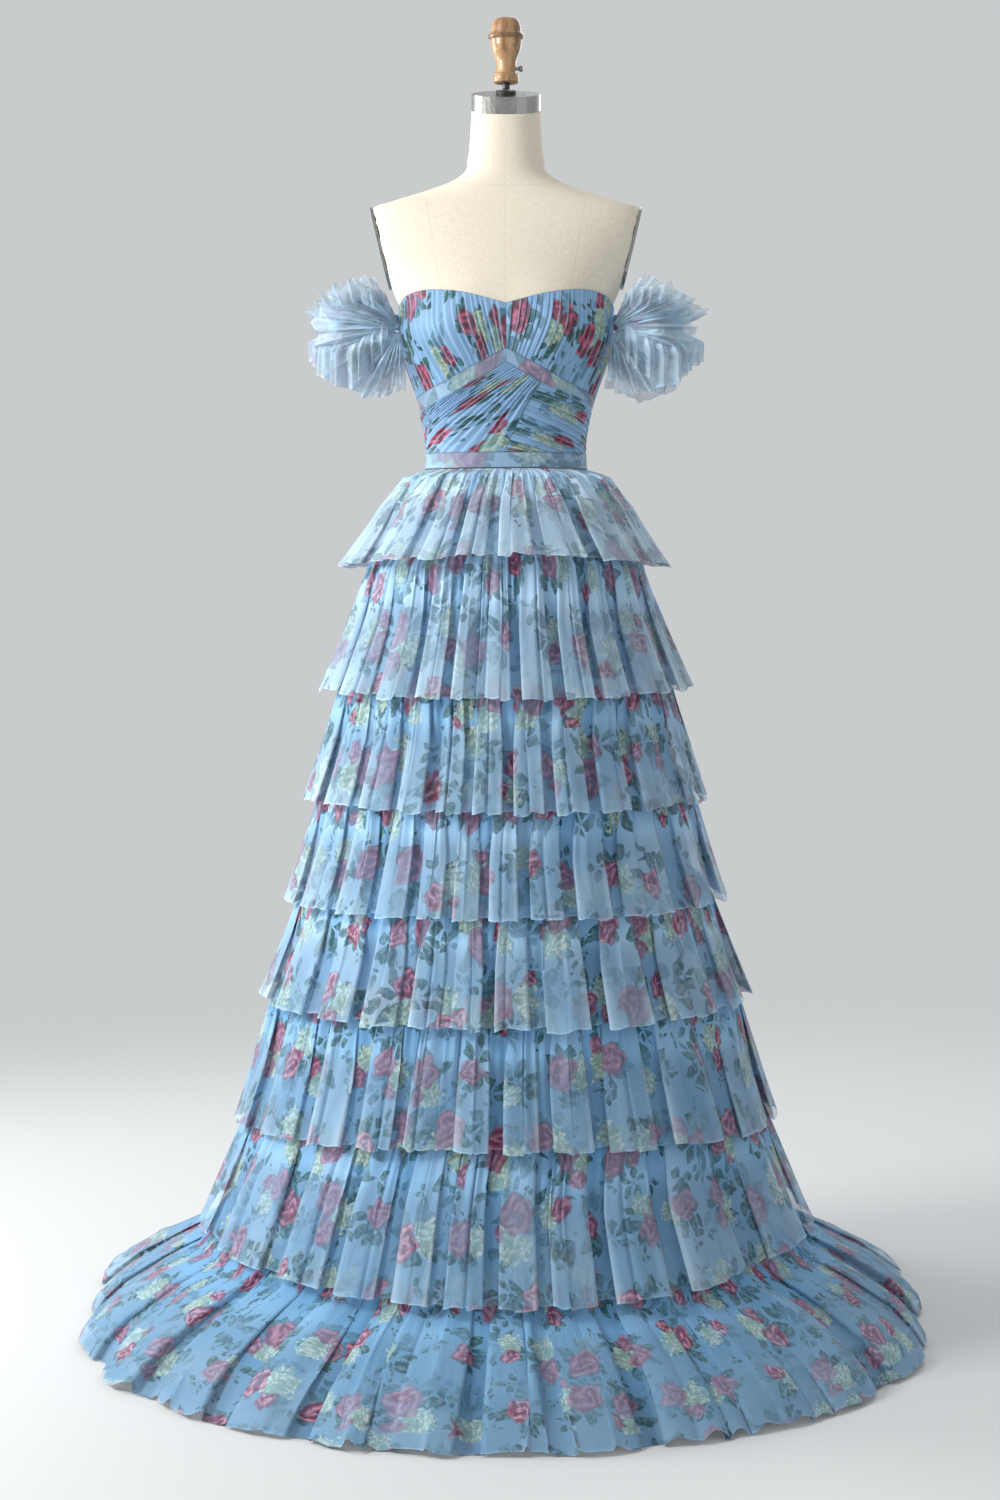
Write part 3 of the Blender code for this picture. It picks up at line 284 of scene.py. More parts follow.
class Net:
    """One material's nodes."""

    def __init__(self, name):
        self.material = bpy.data.materials.new(name)
        self.material.use_nodes = True
        self.tree = self.material.node_tree
        self.shader = self.tree.nodes["Principled BSDF"]

    def node(self, kind, settings=None, sockets=None):
        """A node of a type, its settings set first, then its sockets' values or links."""
        made = self.tree.nodes.new(kind)
        for key, value in (settings or {}).items():
            setattr(made, key, value)
        for key, value in (sockets or {}).items():
            self.feed(made.inputs[key], value)
        return made

    def feed(self, socket, value):
        """Links a value, or sets a number or a colour's red, green and blue."""
        if isinstance(value, Value):
            self.tree.links.new(value.socket, socket)
        else:
            socket.default_value = value + (1.0,) if isinstance(value, tuple) else value

    def out(self, made, key=0):
        """An output of a node as a value."""
        return Value(self, made.outputs[key])

    def math(self, operation, *values):
        return self.out(self.node("ShaderNodeMath", {"operation": operation},
                                  dict(enumerate(values))))

    def mix(self, share, low, high):
        """Colour between two colours."""
        made = self.node("ShaderNodeMix", {"data_type": "RGBA"}, {0: share, 6: low, 7: high})
        return self.out(made, 2)

    def most(self, first, *others):
        """The largest of some values."""
        for other in others:
            first = self.math("MAXIMUM", first, other)
        return first

    def least(self, first, *others):
        """The smallest of some values."""
        for other in others:
            first = self.math("MINIMUM", first, other)
        return first

    def step(self, value, low, high, start=0.0, end=1.0):
        """Soft step of a value from low to high."""
        made = self.node("ShaderNodeMapRange", {"interpolation_type": "SMOOTHSTEP"},
                         {"Value": value, "From Min": low, "From Max": high,
                          "To Min": start, "To Max": end})
        return self.out(made)

    def vector(self, x, y, z=0.0):
        return self.out(self.node("ShaderNodeCombineXYZ", sockets={0: x, 1: y, 2: z}))

    def split(self, vector):
        made = self.node("ShaderNodeSeparateXYZ", sockets={0: vector})
        return self.out(made, 0), self.out(made, 1), self.out(made, 2)

    def noise(self, vector, scale, detail=2.0, dimensions="2D"):
        """Soft noise from 0 to 1, on flat cloth unless told otherwise."""
        made = self.node("ShaderNodeTexNoise", {"noise_dimensions": dimensions}, {
            "Vector": vector, "Scale": scale, "Detail": detail})
        return self.out(made, 0)

    def dice(self, x, y, z):
        """Three random numbers for a cell."""
        made = self.node("ShaderNodeTexWhiteNoise", {"noise_dimensions": "3D"},
                         {"Vector": self.vector(x, y, z)})
        return self.split(self.out(made, "Color"))

    def attribute(self, name):
        """A value that the piece's points carry."""
        made = self.node("ShaderNodeAttribute", {"attribute_name": name})
        return self.out(made, "Fac")

    def cloth_place(self):
        """Across and along the flat cloth, in metres."""
        made = self.node("ShaderNodeUVMap", {"uv_map": "cloth"})
        return self.split(self.out(made))[:2]

    def object_place(self):
        made = self.node("ShaderNodeTexCoord")
        return self.out(made, "Object")

    def bump(self, height, distance, strength):
        made = self.node("ShaderNodeBump", sockets={
            "Height": height, "Distance": distance, "Strength": strength})
        self.feed(self.shader.inputs["Normal"], self.out(made))

    def finish(self, **sockets):
        """Feeds the shader's sockets; underscores stand for spaces."""
        for name, value in sockets.items():
            self.feed(self.shader.inputs[name.replace("_", " ")], value)
        return self.material


# ---- the flower print

# the print's colours on one sheer layer, and on gathered layers and on chiffon
ROSE_DARK = (0.15, 0.040, 0.080), (0.085, 0.014, 0.024)
ROSE = (0.310, 0.105, 0.160), (0.290, 0.036, 0.068)
ROSE_PALE = (0.50, 0.31, 0.39), (0.560, 0.190, 0.270)
CREAM = (0.50, 0.61, 0.57), (0.620, 0.660, 0.470)
LEAF = (0.045, 0.090, 0.110), (0.018, 0.055, 0.050)
LEAF_PALE = (0.115, 0.205, 0.235), (0.075, 0.170, 0.150)
ROSE_MUTED = (0.22, 0.20, 0.29)
CREAM_EDGE = (0.24, 0.36, 0.31)
STALK_HALF = 0.0006
ROSE_RIM, ROSE_TURNS = 0.0034, 11.0 / 0.024        # soft rim; turns of the petals' swirl
FULL_TURN = 2.0 * math.pi


def scattered(net, x, y, size, seed, jitter):
    """A place in a brick-laid cell, shifted and turned at random, and two more dice."""
    row = net.math("FLOOR", y / size)
    shifted = x / size + net.math("FRACT", row * 0.5 + 0.25)
    column = net.math("FLOOR", shifted)
    first, second, third = net.dice(column, row, seed)
    across = (shifted - column - 0.5 + (first - 0.5) * jitter) * size
    up = (y / size - row - 0.5 + (second - 0.5) * jitter) * size
    turn = third * FULL_TURN
    cosine, sine = net.math("COSINE", turn), net.math("SINE", turn)
    return (across * cosine + up * sine, up * cosine - across * sine,
            net.math("FRACT", first * 7.31 + third), net.math("FRACT", second * 5.17 + first))


def around(net, x, y):
    """Distance from the middle and the angle round it."""
    return net.math("SQRT", x * x + y * y), net.math("ARCTAN2", y, x)


def rose(net, x, y, radius, phase):
    """A round bloom with a lobed rim. Returns its mask and the swirl of its petals."""
    away, angle = around(net, x, y)
    rim = radius * (0.82 + phase * 0.30 + net.math("SINE", angle * 5.0 + phase * 9.0) * 0.10)
    inside = net.step(rim - away, 0.0, ROSE_RIM)
    swirl = net.math("SINE", angle * 2.0 + away * ROSE_TURNS
                     + net.math("SINE", angle * 3.0 + phase * 20.0) * 1.6)
    return inside, swirl


def leaf_ring(net, x, y, count, near, far, width, phase):
    """Pointed leaves on thin stalks round a middle, of unlike lengths, some missing."""
    away, angle = around(net, x, y)
    sector = angle * (count / FULL_TURN)
    number = net.math("FLOOR", sector)
    aside = (sector - number - 0.5) * (FULL_TURN / count)
    length, present, lean = net.dice(number, phase * 37.0, 3.0)
    aside = aside + (lean - 0.5) * 0.35
    out, across = away * net.math("COSINE", aside), away * net.math("SINE", aside)
    reach = (out - near) / ((far - near) * (0.55 + length * 0.45))
    reach = net.least(net.most(reach, 0.0), 1.0)
    half = net.most(net.math("SINE", reach * math.pi) * width,
                    net.step(reach, 0.30, 0.25) * STALK_HALF)
    edge = half * net.step(present, 0.20, 0.26) - net.math("ABSOLUTE", across)
    return net.step(edge, -0.0002, 0.0008)


def flower_print(net, x, y, ground, rich):
    """Bouquets of roses and cream blooms among leaves, with leaf sprays between them.
    rich is from 0, as on one sheer layer, to 1, as on gathered layers; on the tulle it also holds
    the painted shade of recesses and gathers.
    Returns the printed colour and how dense the print is."""
    leaf, leaf_pale, cream_tone, rose_dark, rose_tone, rose_pale = (
        net.mix(rich, *pair) for pair in (LEAF, LEAF_PALE, CREAM, ROSE_DARK, ROSE, ROSE_PALE))
    blot = net.noise(net.vector(x, y), 130.0, 2.0)
    drift = net.noise(net.vector(y, x), 34.0, 0.0)
    wx = x + (blot - 0.5) * 0.0028 + (drift - 0.5) * 0.016
    wy = y - (blot - 0.5) * 0.0028 + (drift - 0.5) * 0.012
    px, py, chance, kind = scattered(net, wx, wy, 0.098, 1.0, 0.36)
    size = 0.84 + net.math("FRACT", kind * 3.7 + chance) * 0.42
    px, py = px / size, py / size
    ring = leaf_ring(net, px, py, 9.0, 0.012, 0.056, 0.0090, chance)
    sx, sy, luck, other = scattered(net, wx + 0.031, wy + 0.017, 0.064, 5.0, 0.40)
    spray = leaf_ring(net, sx, sy, 5.0, 0.004, 0.030, 0.0060, other)
    spray = spray * net.step(luck, 0.16, 0.20)
    tx, ty, rare, _ = scattered(net, wx, wy + 0.011, 0.040, 9.0, 0.5)
    loose = leaf_ring(net, tx, ty, 3.0, 0.001, 0.013, 0.0034, rare) * net.step(rare, 0.42, 0.46)
    fade = net.step(net.noise(net.vector(x, y), 14.0, 0.0), 0.30, 0.60, 0.50, 1.0)
    green = net.most(ring, spray, loose) * fade
    leaf_tone = net.mix(net.step(blot, 0.38, 0.64), leaf, leaf_pale)
    colour = net.mix(green * 0.90, ground, leaf_tone)
    # cream blooms made of small florets
    cream_away, _ = around(net, px + 0.018, py - 0.013)
    cream = net.step(0.0235 * (0.40 + blot * 1.15) - cream_away, 0.0, 0.0036)
    cream = cream * net.step(kind, 0.18, 0.22)
    floret = net.node("ShaderNodeTexVoronoi", {"feature": "F1"},
                      {"Vector": net.vector(px, py), "Scale": 170.0})
    petal = net.step(net.out(floret, "Distance"), 0.25, 0.66)
    colour = net.mix(cream * 0.74, colour, net.mix(petal, cream_tone, CREAM_EDGE))
    # a large rose and a smaller one
    large, large_swirl = rose(net, px - 0.009, py + 0.007, 0.0225, chance)
    small, small_swirl = rose(net, px - 0.004, py - 0.031, 0.0145, kind)
    small = small * net.step(kind, 0.35, 0.40)
    swirl = net.most(large * (large_swirl + 2.0), small * (small_swirl + 2.0)) - 2.0
    bloom = net.most(large * net.step(chance, 0.12, 0.16), small)
    swirl = swirl + (blot - 0.5) * 3.0
    deep = net.mix(net.step(swirl, -1.2, 0.3), rose_dark, rose_tone)
    tone = net.mix(net.step(swirl, 0.0, 1.4), deep, rose_pale)
    muted = net.mix(net.step(chance, 0.40, 0.60) * (0.62 - rich * 0.4), tone, ROSE_MUTED)
    colour = net.mix(bloom * 0.88, colour, muted)
    dense = net.most(green, cream, bloom)
    # a richer print is more saturated and darker: on the tulle this is partly painted shade
    deepened = net.node("ShaderNodeHueSaturation", sockets={
        "Saturation": 1.0 + rich * 0.20, "Value": 1.0 - rich * 0.15, "Fac": dense,
        "Color": colour})
    return net.out(deepened), dense


# ---- materials

def tulle_material(name, solidity, printed=1.0, pale=0.0, deep=0.0):
    """Sheer printed tulle. solidity is how much one unprinted layer hides, printed how
    strong its print is, pale how white its ground and deep how dark a blue. The copies of this
    material paint light and shade as the light falls off down the dress: pale on the top tiers
    and deep on the low tiers and the train. The cloth in a fold's recess is several layers
    deep, so it is bluer there and its print is richer, and it is darkened further there as
    painted shade. The top of each tier, under the hem above, is darkened for its denser
    gathers and as painted shadow."""
    net = Net(name)
    x, y = net.cloth_place()
    edge, gather, hem, recess = (net.attribute(mark)
                                 for mark in ("fold_edge", "gather", "hem", "recess"))
    place = net.vector(x, y)
    mottle = net.noise(place, 9.0, 1.0)
    ground = net.mix(net.step(mottle, 0.3, 0.7), (0.33, 0.535, 0.74), (0.45, 0.65, 0.82))
    # painted light and shade: pale lightens the top tiers and deep darkens the low tiers and the
    # train, as the light falls off down the dress
    ground = net.mix(pale, ground, (0.60, 0.76, 0.88))
    ground = net.mix(deep, ground, (0.13, 0.29, 0.47))
    # painted shade, partly: the fold's recess is darker blue for its layered cloth and as painted
    # shade of the recess
    ground = net.mix(recess * 0.50, ground, (0.10, 0.27, 0.48))
    # painted shadow, partly: darker blue towards the seam, for the denser gathers and as the
    # shadow under the hem of the tier above
    ground = net.mix(gather * (0.80 - pale * 0.6), ground, (0.085, 0.25, 0.48))
    # the print's richness follows the gathers and the recesses, so it also carries their painted
    # shade
    colour, dense = flower_print(net, x, y, ground, gather * 0.5 + recess * 0.4)
    patchy = net.step(net.math("FRACT", mottle * 3.1), 0.2, 0.8)
    veil = (1.0 - recess) * (1.0 - gather * 0.8) * (0.06 + pale * 0.16 + patchy * 0.20)
    strength = (1.0 - veil) * printed
    colour = net.mix(strength, ground, colour)
    # painted highlight, partly: the folds' edges are paler where the sheer cloth doubles, and as a
    # painted highlight
    bright = net.step(edge, 0.35, 1.0) * (1.0 - gather * 0.6)
    colour = net.mix(bright * 0.34, colour, (0.63, 0.76, 0.86))
    rim = net.step(hem, 0.0030, 0.0010)
    colour = net.mix(rim * 0.15, colour, (0.46, 0.58, 0.70))
    threads = net.noise(place, 1400.0, 0.0)
    solid = net.most(dense * (0.24 * printed), gather * 0.30, rim * 0.20)
    alpha = solid + bright * 0.20 + net.step(gather, 0.2, 0.5, solidity, 1.0)
    crush = net.noise(net.vector(x * 3.0, y), 45.0, 2.0)
    net.bump(crush + threads * 0.15, 0.0016, 0.50)
    return net.finish(Base_Color=colour, Alpha=net.least(alpha, 1.0), Roughness=0.62,
                      Specular_IOR_Level=0.0, Sheen_Weight=0.25, Sheen_Roughness=0.4)


def chiffon_material(name, plain):
    """Opaque printed chiffon over its lining, with rich print in streaks."""
    net = Net(name)
    x, y = net.cloth_place()
    place, edge = net.vector(x, y), net.attribute("fold_edge")
    ground = net.mix(net.noise(place, 22.0), (0.145, 0.30, 0.51), (0.255, 0.43, 0.64))
    if plain:
        ground = net.mix(0.6, ground, (0.29, 0.41, 0.52))
    colour, dense = flower_print(net, x * 0.82, y * 0.82, ground, 0.35 if plain else 1.0)
    if plain:
        colour = net.mix(dense * 0.35, colour, ground)
    # painted highlight: a paler line on each pleat's upper edge
    bright = net.step(edge, 0.2, 1.0)
    colour = net.mix(bright * 0.34, colour, (0.53, 0.68, 0.82))
    # painted shade: a dark blue line along each sheet's edges, where one piece meets or lies over
    # the next
    rim = net.step(net.attribute("hem"), 0.0017, 0.0005)
    colour = net.mix(rim * 0.45, colour, (0.10, 0.19, 0.31))
    fine = net.noise(net.vector(x, y * 0.06), 420.0, 2.0)
    weave = net.noise(place, 1600.0, 1.0)
    net.bump(fine + weave * 0.2, 0.0009, 0.15 if plain else 0.6)
    return net.finish(Base_Color=colour, Roughness=0.55, Specular_IOR_Level=0.3,
                      Sheen_Weight=0.3, Sheen_Roughness=0.35)


def lining_material():
    """Plain satin lining in the dress's blue, clouded by a slow noise."""
    net = Net("blue lining")
    x, y = net.cloth_place()
    cloudy = net.noise(net.vector(x, y), 5.0)
    colour = net.mix(cloudy, (0.065, 0.205, 0.44), (0.10, 0.265, 0.51))
    net.bump(net.noise(net.vector(x * 0.1, y), 900.0, 1.0), 0.0004, 0.3)
    return net.finish(Base_Color=colour, Roughness=0.5, Specular_IOR_Level=0.35,
                      Sheen_Weight=0.15)


def linen_material():
    """Ivory linen of the dress form: woven slubs and stitched seams."""
    net = Net("ivory linen")
    x, y = net.cloth_place()
    place = net.object_place()
    px, py, pz = net.split(place)
    across = net.noise(net.vector(x * 0.12, y), 900.0, 2.0)
    upward = net.noise(net.vector(x, y * 0.12), 900.0, 2.0)
    threads = across * 0.5 + upward * 0.5
    tone = net.mix(net.step(threads, 0.36, 0.64), (0.685, 0.62, 0.505), (0.77, 0.71, 0.605))
    stain = net.noise(place, 4.0, 1.0, "3D")
    tone = net.mix(net.step(stain, 0.35, 0.75) * 0.15, tone, (0.72, 0.64, 0.52))
    # seams: centre front and back, princess seams over the bust, and the neck's foot
    away = net.math("ABSOLUTE", px)
    bust = net.math("ABSOLUTE", away - 0.082 - (pz - 1.40) * 0.16)
    above_bust = net.step(pz, 1.570, 1.590)
    on_neck = net.math("ABSOLUTE", pz - 1.600 - py * 0.35)
    seam = net.least(away, on_neck, bust + above_bust)
    line = net.step(seam, 0.0011, 0.0002)
    tone = net.mix(line * 0.16, tone, (0.40, 0.33, 0.24))
    net.bump(threads * 0.35 - line * 0.3, 0.0008, 0.35)
    return net.finish(Base_Color=tone, Roughness=0.85, Specular_IOR_Level=0.15,
                      Sheen_Weight=0.12)


def wood_material():
    """Pale turned wood, its grain along the turning axis, under a satin varnish."""
    net = Net("turned wood")
    x, y, z = net.split(net.object_place())
    rings = net.step(net.noise(net.vector(x * 90.0, y * 90.0, z * 14.0), 1.0, 3.0, "3D"),
                     0.30, 0.70)
    grain = net.noise(net.vector(x * 500.0, y * 500.0, z * 40.0), 1.0, 2.0, "3D")
    tone = net.mix(rings, (0.22, 0.105, 0.045), (0.52, 0.31, 0.15))
    tone = net.mix(net.step(grain, 0.50, 0.72) * 0.6, tone, (0.15, 0.070, 0.03))
    ridge = net.step(net.math("ABSOLUTE", z - 1.7885), 0.0042, 0.0022)
    tone = net.mix(ridge * 0.65, tone, (0.11, 0.055, 0.028))
    net.bump(grain, 0.0002, 0.3)
    return net.finish(Base_Color=tone, Roughness=0.38, Specular_IOR_Level=0.5,
                      Coat_Weight=0.25)


def metal_material(name, colour, roughness, metallic, brushed):
    """Metal or paint with fine brush marks or faint unevenness."""
    net = Net(name)
    x, y, z = net.split(net.object_place())
    marks = net.noise(net.vector(x * (1.0 - brushed * 0.93), y, z), 900.0 if brushed else 120.0)
    dark = tuple(channel * 0.72 for channel in colour)
    tone = net.mix(marks, dark, colour)
    rough = net.step(marks, 0.2, 0.8, roughness * 0.8, roughness * 1.2)
    net.bump(marks, 0.0001, 0.25)
    return net.finish(Base_Color=tone, Roughness=rough, Metallic=metallic)


def coil_material():
    """Fine teeth across the zip."""
    net = Net("zip coil")
    _, y = net.cloth_place()
    teeth = net.math("SINE", y * (FULL_TURN / 0.0013))
    colour = net.mix(net.step(teeth, -0.6, 0.4), (0.10, 0.20, 0.33), (0.24, 0.41, 0.60))
    net.bump(teeth, 0.0003, 0.7)
    return net.finish(Base_Color=colour, Roughness=0.4)


TULLE = tulle_material("printed tulle", 0.52)
COIL = coil_material()
SLEEVE_TULLE = tulle_material("printed tulle of the sleeves", 0.40, 0.60, 0.85)
# copies of the tulle, paler on the top tiers and darker blue on the low tiers and the train:
# painted light and shade as the light falls off down the dress
PALE_TULLE = tulle_material("printed tulle of the first tier", 0.52, 0.92, 0.66)
TOP_TULLE = tulle_material("printed tulle of the second tier", 0.52, 0.90, 0.35)
LOW_TULLE = tulle_material("printed tulle of the low tiers", 0.54, 1.00, 0.0, 0.36)
TRAIN_TULLE = tulle_material("printed tulle of the train", 0.70, 1.00, 0.0, 0.72)
CHIFFON = chiffon_material("pleated chiffon", False)
BAND = chiffon_material("plain chiffon band", True)
LINING = lining_material()
LINEN = linen_material()
WOOD = wood_material()
STEEL = metal_material("brushed steel", (0.42, 0.42, 0.41), 0.30, 1.0, 1.0)
BLACK = metal_material("black paint", (0.025, 0.025, 0.028), 0.42, 0.0, 0.0)
ENAMEL = metal_material("blue enamel", (0.20, 0.36, 0.56), 0.36, 0.2, 0.0)


# ---- skirt

UNEVEN = (1.0, 0.72, 1.12, 0.85, 0.62)
UNEVEN_MEAN = 0.862
FOLD_FULLNESS = 1.32            # a sheet's folds against the solid's
PANEL_SHARE, CREASE_HALF = 0.36, 0.06        # of a fold's pitch, and of a panel's width
HEM_STEP = 0.005
FINE_GATHER, WIDE_GATHER, FINE_GATHER_LIFT = 0.0032, 0.0034, 0.0030
SWAY_OUT, HEM_WANDER, HEM_RIPPLE = 0.0012, 0.0040, 0.0012
TRAIN_SWAY, TRAIN_WANDER, TRAIN_FRONT_OUT = 0.0045, 0.0100, 0.012
CREST_LIFT, CURL_UP, CURL_IN, CLEAR_OF_FLOOR = 0.0060, 0.0160, 0.0090, 0.0004
FOLD_COLUMNS = [6, 3, 3, 6, 5, 8, 5]        # columns on each stretch of one fold

# seam, emerge, emerge_r, hem, hem_r, hem_front, front_out, depth, as in the CAD part
TIERS = {
    "tier_2": (1.102, 1.067, 0.186, 0.898, 0.260, 0.892, 0.000, 0.018),
    "tier_3": (0.933, 0.898, 0.229, 0.748, 0.283, 0.745, 0.000, 0.014),
    "tier_4": (0.782, 0.747, 0.259, 0.609, 0.309, 0.610, 0.000, 0.014),
    "tier_5": (0.645, 0.610, 0.285, 0.475, 0.344, 0.472, 0.000, 0.014),
    "tier_6": (0.510, 0.475, 0.321, 0.304, 0.378, 0.322, 0.000, 0.012),
    "tier_7": (0.362, 0.310, 0.359, 0.160, 0.428, 0.138, 0.018, 0.012),
}
# height, half_width, front, back, fold depth
TIER_1_RINGS = np.array((
    (1.1985, 0.1138, 0.0852, 0.0872, 0.0010), (1.188, 0.1480, 0.1180, 0.1220, 0.0030),
    (1.150, 0.1840, 0.1650, 0.1680, 0.0100), (1.067, 0.2330, 0.2260, 0.2280, 0.0220)))
TIER_1_FRONT_RISE, TIER_1_HOLLOW = 0.013, 0.011
TIER_8_RINGS = np.array((
    (0.190, 0.3815, 0.3815, 0.3815, 0.0010), (0.155, 0.4060, 0.4060, 0.4060, 0.0040),
    (0.128, 0.4250, 0.4250, 0.4250, 0.0080), (0.096, 0.4800, 0.4780, 0.4800, 0.0140),
    (0.057, 0.5450, 0.5450, 0.5450, 0.0220), (0.026, 0.5760, 0.5780, 0.5780, 0.0260),
    (0.003, 0.5900, 0.5960, 0.5900, 0.0260)))
# count and the middles of the folds that face the front
FOLDS = {
    "tier_1": (14, (-76, -44, -25, -13, 3, 21, 43, 71)),
    "tier_2": (20, (-75, -53, -35, -24, -12, -3, 9, 23, 35, 50, 75)),
    "tier_3": (20, (-74, -54, -38, -27, -16, -5, 6, 18, 32, 46, 70)),
    "tier_4": (20, (-80, -57, -42, -30, -19, -10, -1, 10, 22, 37, 65)),
    "tier_5": (20, (-86, -58, -42, -29, -18, -9, 1, 13, 29, 46, 72)),
    "tier_6": (20, (-77, -54, -39, -27, -17, -7, 3, 13, 26, 41, 66)),
    "tier_7": (20, (-84, -54, -37, -26, -16, -7, 2, 11, 23, 38, 64)),
    "tier_8": (22, (-78, -60, -44, -31, -20, -10, 1, 12, 23, 35, 49, 66, 84)),
}


def fold_crests(name):
    """Middle azimuths of a tier's folds. The hidden ones fill the gap behind at even steps,
    each shifted by a sine wave."""
    count, front = FOLDS[name]
    behind = count - len(front)
    gap = (front[0] + 360.0 - front[-1]) / (behind + 1)
    index = np.arange(behind)
    wander = 0.22 * np.sin(2.4 * index + len(name) * front[1])
    return np.concatenate((front, front[-1] + gap * (index + 1 + wander)))


def fold_columns(name, seed, overlap=1.0, softness=1):
    """The tier's hem as a line that folds under itself. Each fold is a flat panel, a return
    under the panel's edge, a recess and a return out again. overlap is how far the returns
    reach under, and softness how often the creases are rounded.
    Gives azimuth, depth share, hem drop and edge mark, the last for a painted highlight."""
    dice = np.random.default_rng(seed)
    crests = fold_crests(name)
    count = len(crests)
    corners, samples = [], []
    for index, crest in enumerate(crests):
        before = crests[index - 1] - (360.0 if index == 0 else 0.0)
        after = crests[(index + 1) % count] + (360.0 if index == count - 1 else 0.0)
        deep = UNEVEN[index % 5]
        low = UNEVEN[(2 * index + 1) % 5] - UNEVEN_MEAN
        left = crest - PANEL_SHARE * (crest - before)
        right = crest + PANEL_SHARE * (after - crest)
        width, gap = right - left, after - crest
        split = dice.uniform(0.3, 0.7)
        crease = dice.choice((0.0, 0.08, 0.34)) * dice.uniform(0.7, 1.2)
        under = gap * dice.uniform(0.02, 0.12, 2) * overlap
        tilt = dice.uniform(0.0, 0.60, 2) * dice.choice(((1, 0.1), (0.1, 1), (0.4, 0.3)))
        nick = dice.uniform(-0.8, 0.8, 3)
        # strengths of the painted highlight on the panel's two edges
        bright = dice.uniform(0.35, 1.1, 2)
        corners += [
            (left, tilt[0], low + nick[0], bright[0]),
            (left + width * (split - CREASE_HALF), 0.0, low + nick[1], 0.0),
            (left + width * split, crease, low * 0.8, crease * 1.5),
            (left + width * (split + CREASE_HALF), 0.02, low * 0.8 + nick[2], 0.0),
            (right, 0.08 + tilt[1], low * 0.6, bright[1]),
            (right - under[0], 0.80 * deep, -0.2, 0.0),
            (after - PANEL_SHARE * gap + under[1], deep, -0.6, 0.0),
        ]
        samples += FOLD_COLUMNS
    corners = np.array(corners)
    closed = np.vstack((corners, corners[0] + (360.0, 0, 0, 0)))
    pieces = []
    for index, number in enumerate(samples):
        share = (np.arange(number) / number)[:, None]
        pieces.append(closed[index] * (1.0 - share) + closed[index + 1] * share)
    line = np.vstack(pieces)
    depth, drop, edge = line[:, 1], line[:, 2], line[:, 3]
    for _ in range(softness):
        depth, drop, edge = (blur_columns(values) for values in (depth, drop, edge))
    return line[:, 0], depth, drop, edge


def ripples(columns, turns, dice, layers=3):
    """Small gathers round a closed line, from -1 to 1: the mean of a few sine waves, each
    with a whole number of waves round the line, near turns."""
    place = np.arange(columns) / columns * 2.0 * np.pi
    total = np.zeros(columns)
    for _ in range(layers):
        total += np.sin(round(turns * dice.uniform(0.75, 1.3)) * place + dice.uniform(0.0, 6.3))
    return total / layers


def finish_tier(name, points, edge, depth, seed, material):
    """Adds a tier from its rows, hem first. Its marks: bright on the folds' edges and less so
    upwards, for a painted highlight, recess where the cloth folds under and gather towards the
    seam, both also for painted shade, and the distance from the hem."""
    rows = points.shape[0]
    up = along(points, 0).mean(axis=1)
    marks = {
        "fold_edge": edge * np.linspace(1.0, 0.35, rows)[:, None],
        "recess": smooth_step(depth, 0.1, 0.9),
        "gather": np.linspace(0.0, 1.0, rows)[:, None] ** 2.0,
        "hem": up[:, None],
    }
    gathered_sheet(name + "_cloth", points, True, ring_closed(points[0]),
                   (seed * 0.37, seed * 0.213), material, (name,), marks)


def seam_azimuths(azimuth, radius):
    """Where each of a hem's columns starts at the seam. The hem's length, its folds opened,
    is spread evenly round the seam, turned so that the two agree on the mean."""
    run = along(ring_closed(polar(azimuth, radius, 0.0)), 0)
    start = azimuth[0] + 360.0 * (run / run[-1])[:-1]
    return start - np.mean(start - azimuth)


def tier_rows(name, seed, rows, shape_rows, depth_row):
    """Points of a tier, hem first. shape_rows(azimuth, v) gives radius and height without
    folds at v, 0 at the seam and 1 at the hem. depth_row(v) is the fold depth there. Each
    column leaves its even place at the seam for its place in the folded hem by a soft step.
    The folds sink from the shape, and small gathers stand out from it near the seam."""
    dice = np.random.default_rng(seed)
    azimuth, depth, drop, edge = fold_columns(name, seed)
    columns = len(azimuth)
    base, _ = shape_rows(azimuth, 1.0)
    start = seam_azimuths(azimuth, base - depth_row(1.0) * depth)
    fine = ripples(columns, columns / 6.5, dice)
    middle = ripples(columns, columns / 17.0, dice)
    sway = ripples(columns, 31, dice, 4)
    wide = ripples(columns, 9, dice, 3)
    grid = []
    for v in np.linspace(1.0, 0.0, rows):
        blend = smooth_step(v, -0.15, 0.62)
        turn = start + (azimuth - start) * blend
        turn = turn + 0.35 * sway * np.sin(np.pi * v) * (1.0 - 0.5 * v)
        radius, height = shape_rows(turn, v)
        gather = (1.0 - v) ** 1.1 * min(1.0, 9.0 * v + 0.12)
        radius = radius - depth_row(v) * depth * (0.25 + 0.75 * blend)
        radius = radius + gather * (FINE_GATHER * fine + WIDE_GATHER * middle + FINE_GATHER_LIFT)
        radius = radius + SWAY_OUT * np.sin(np.pi * v) * sway + HEM_WANDER * wide * v
        height = height - HEM_STEP * (drop * v**3) - HEM_RIPPLE * fine * v**6
        grid.append(polar(turn, radius, height))
    return np.array(grid), edge, depth


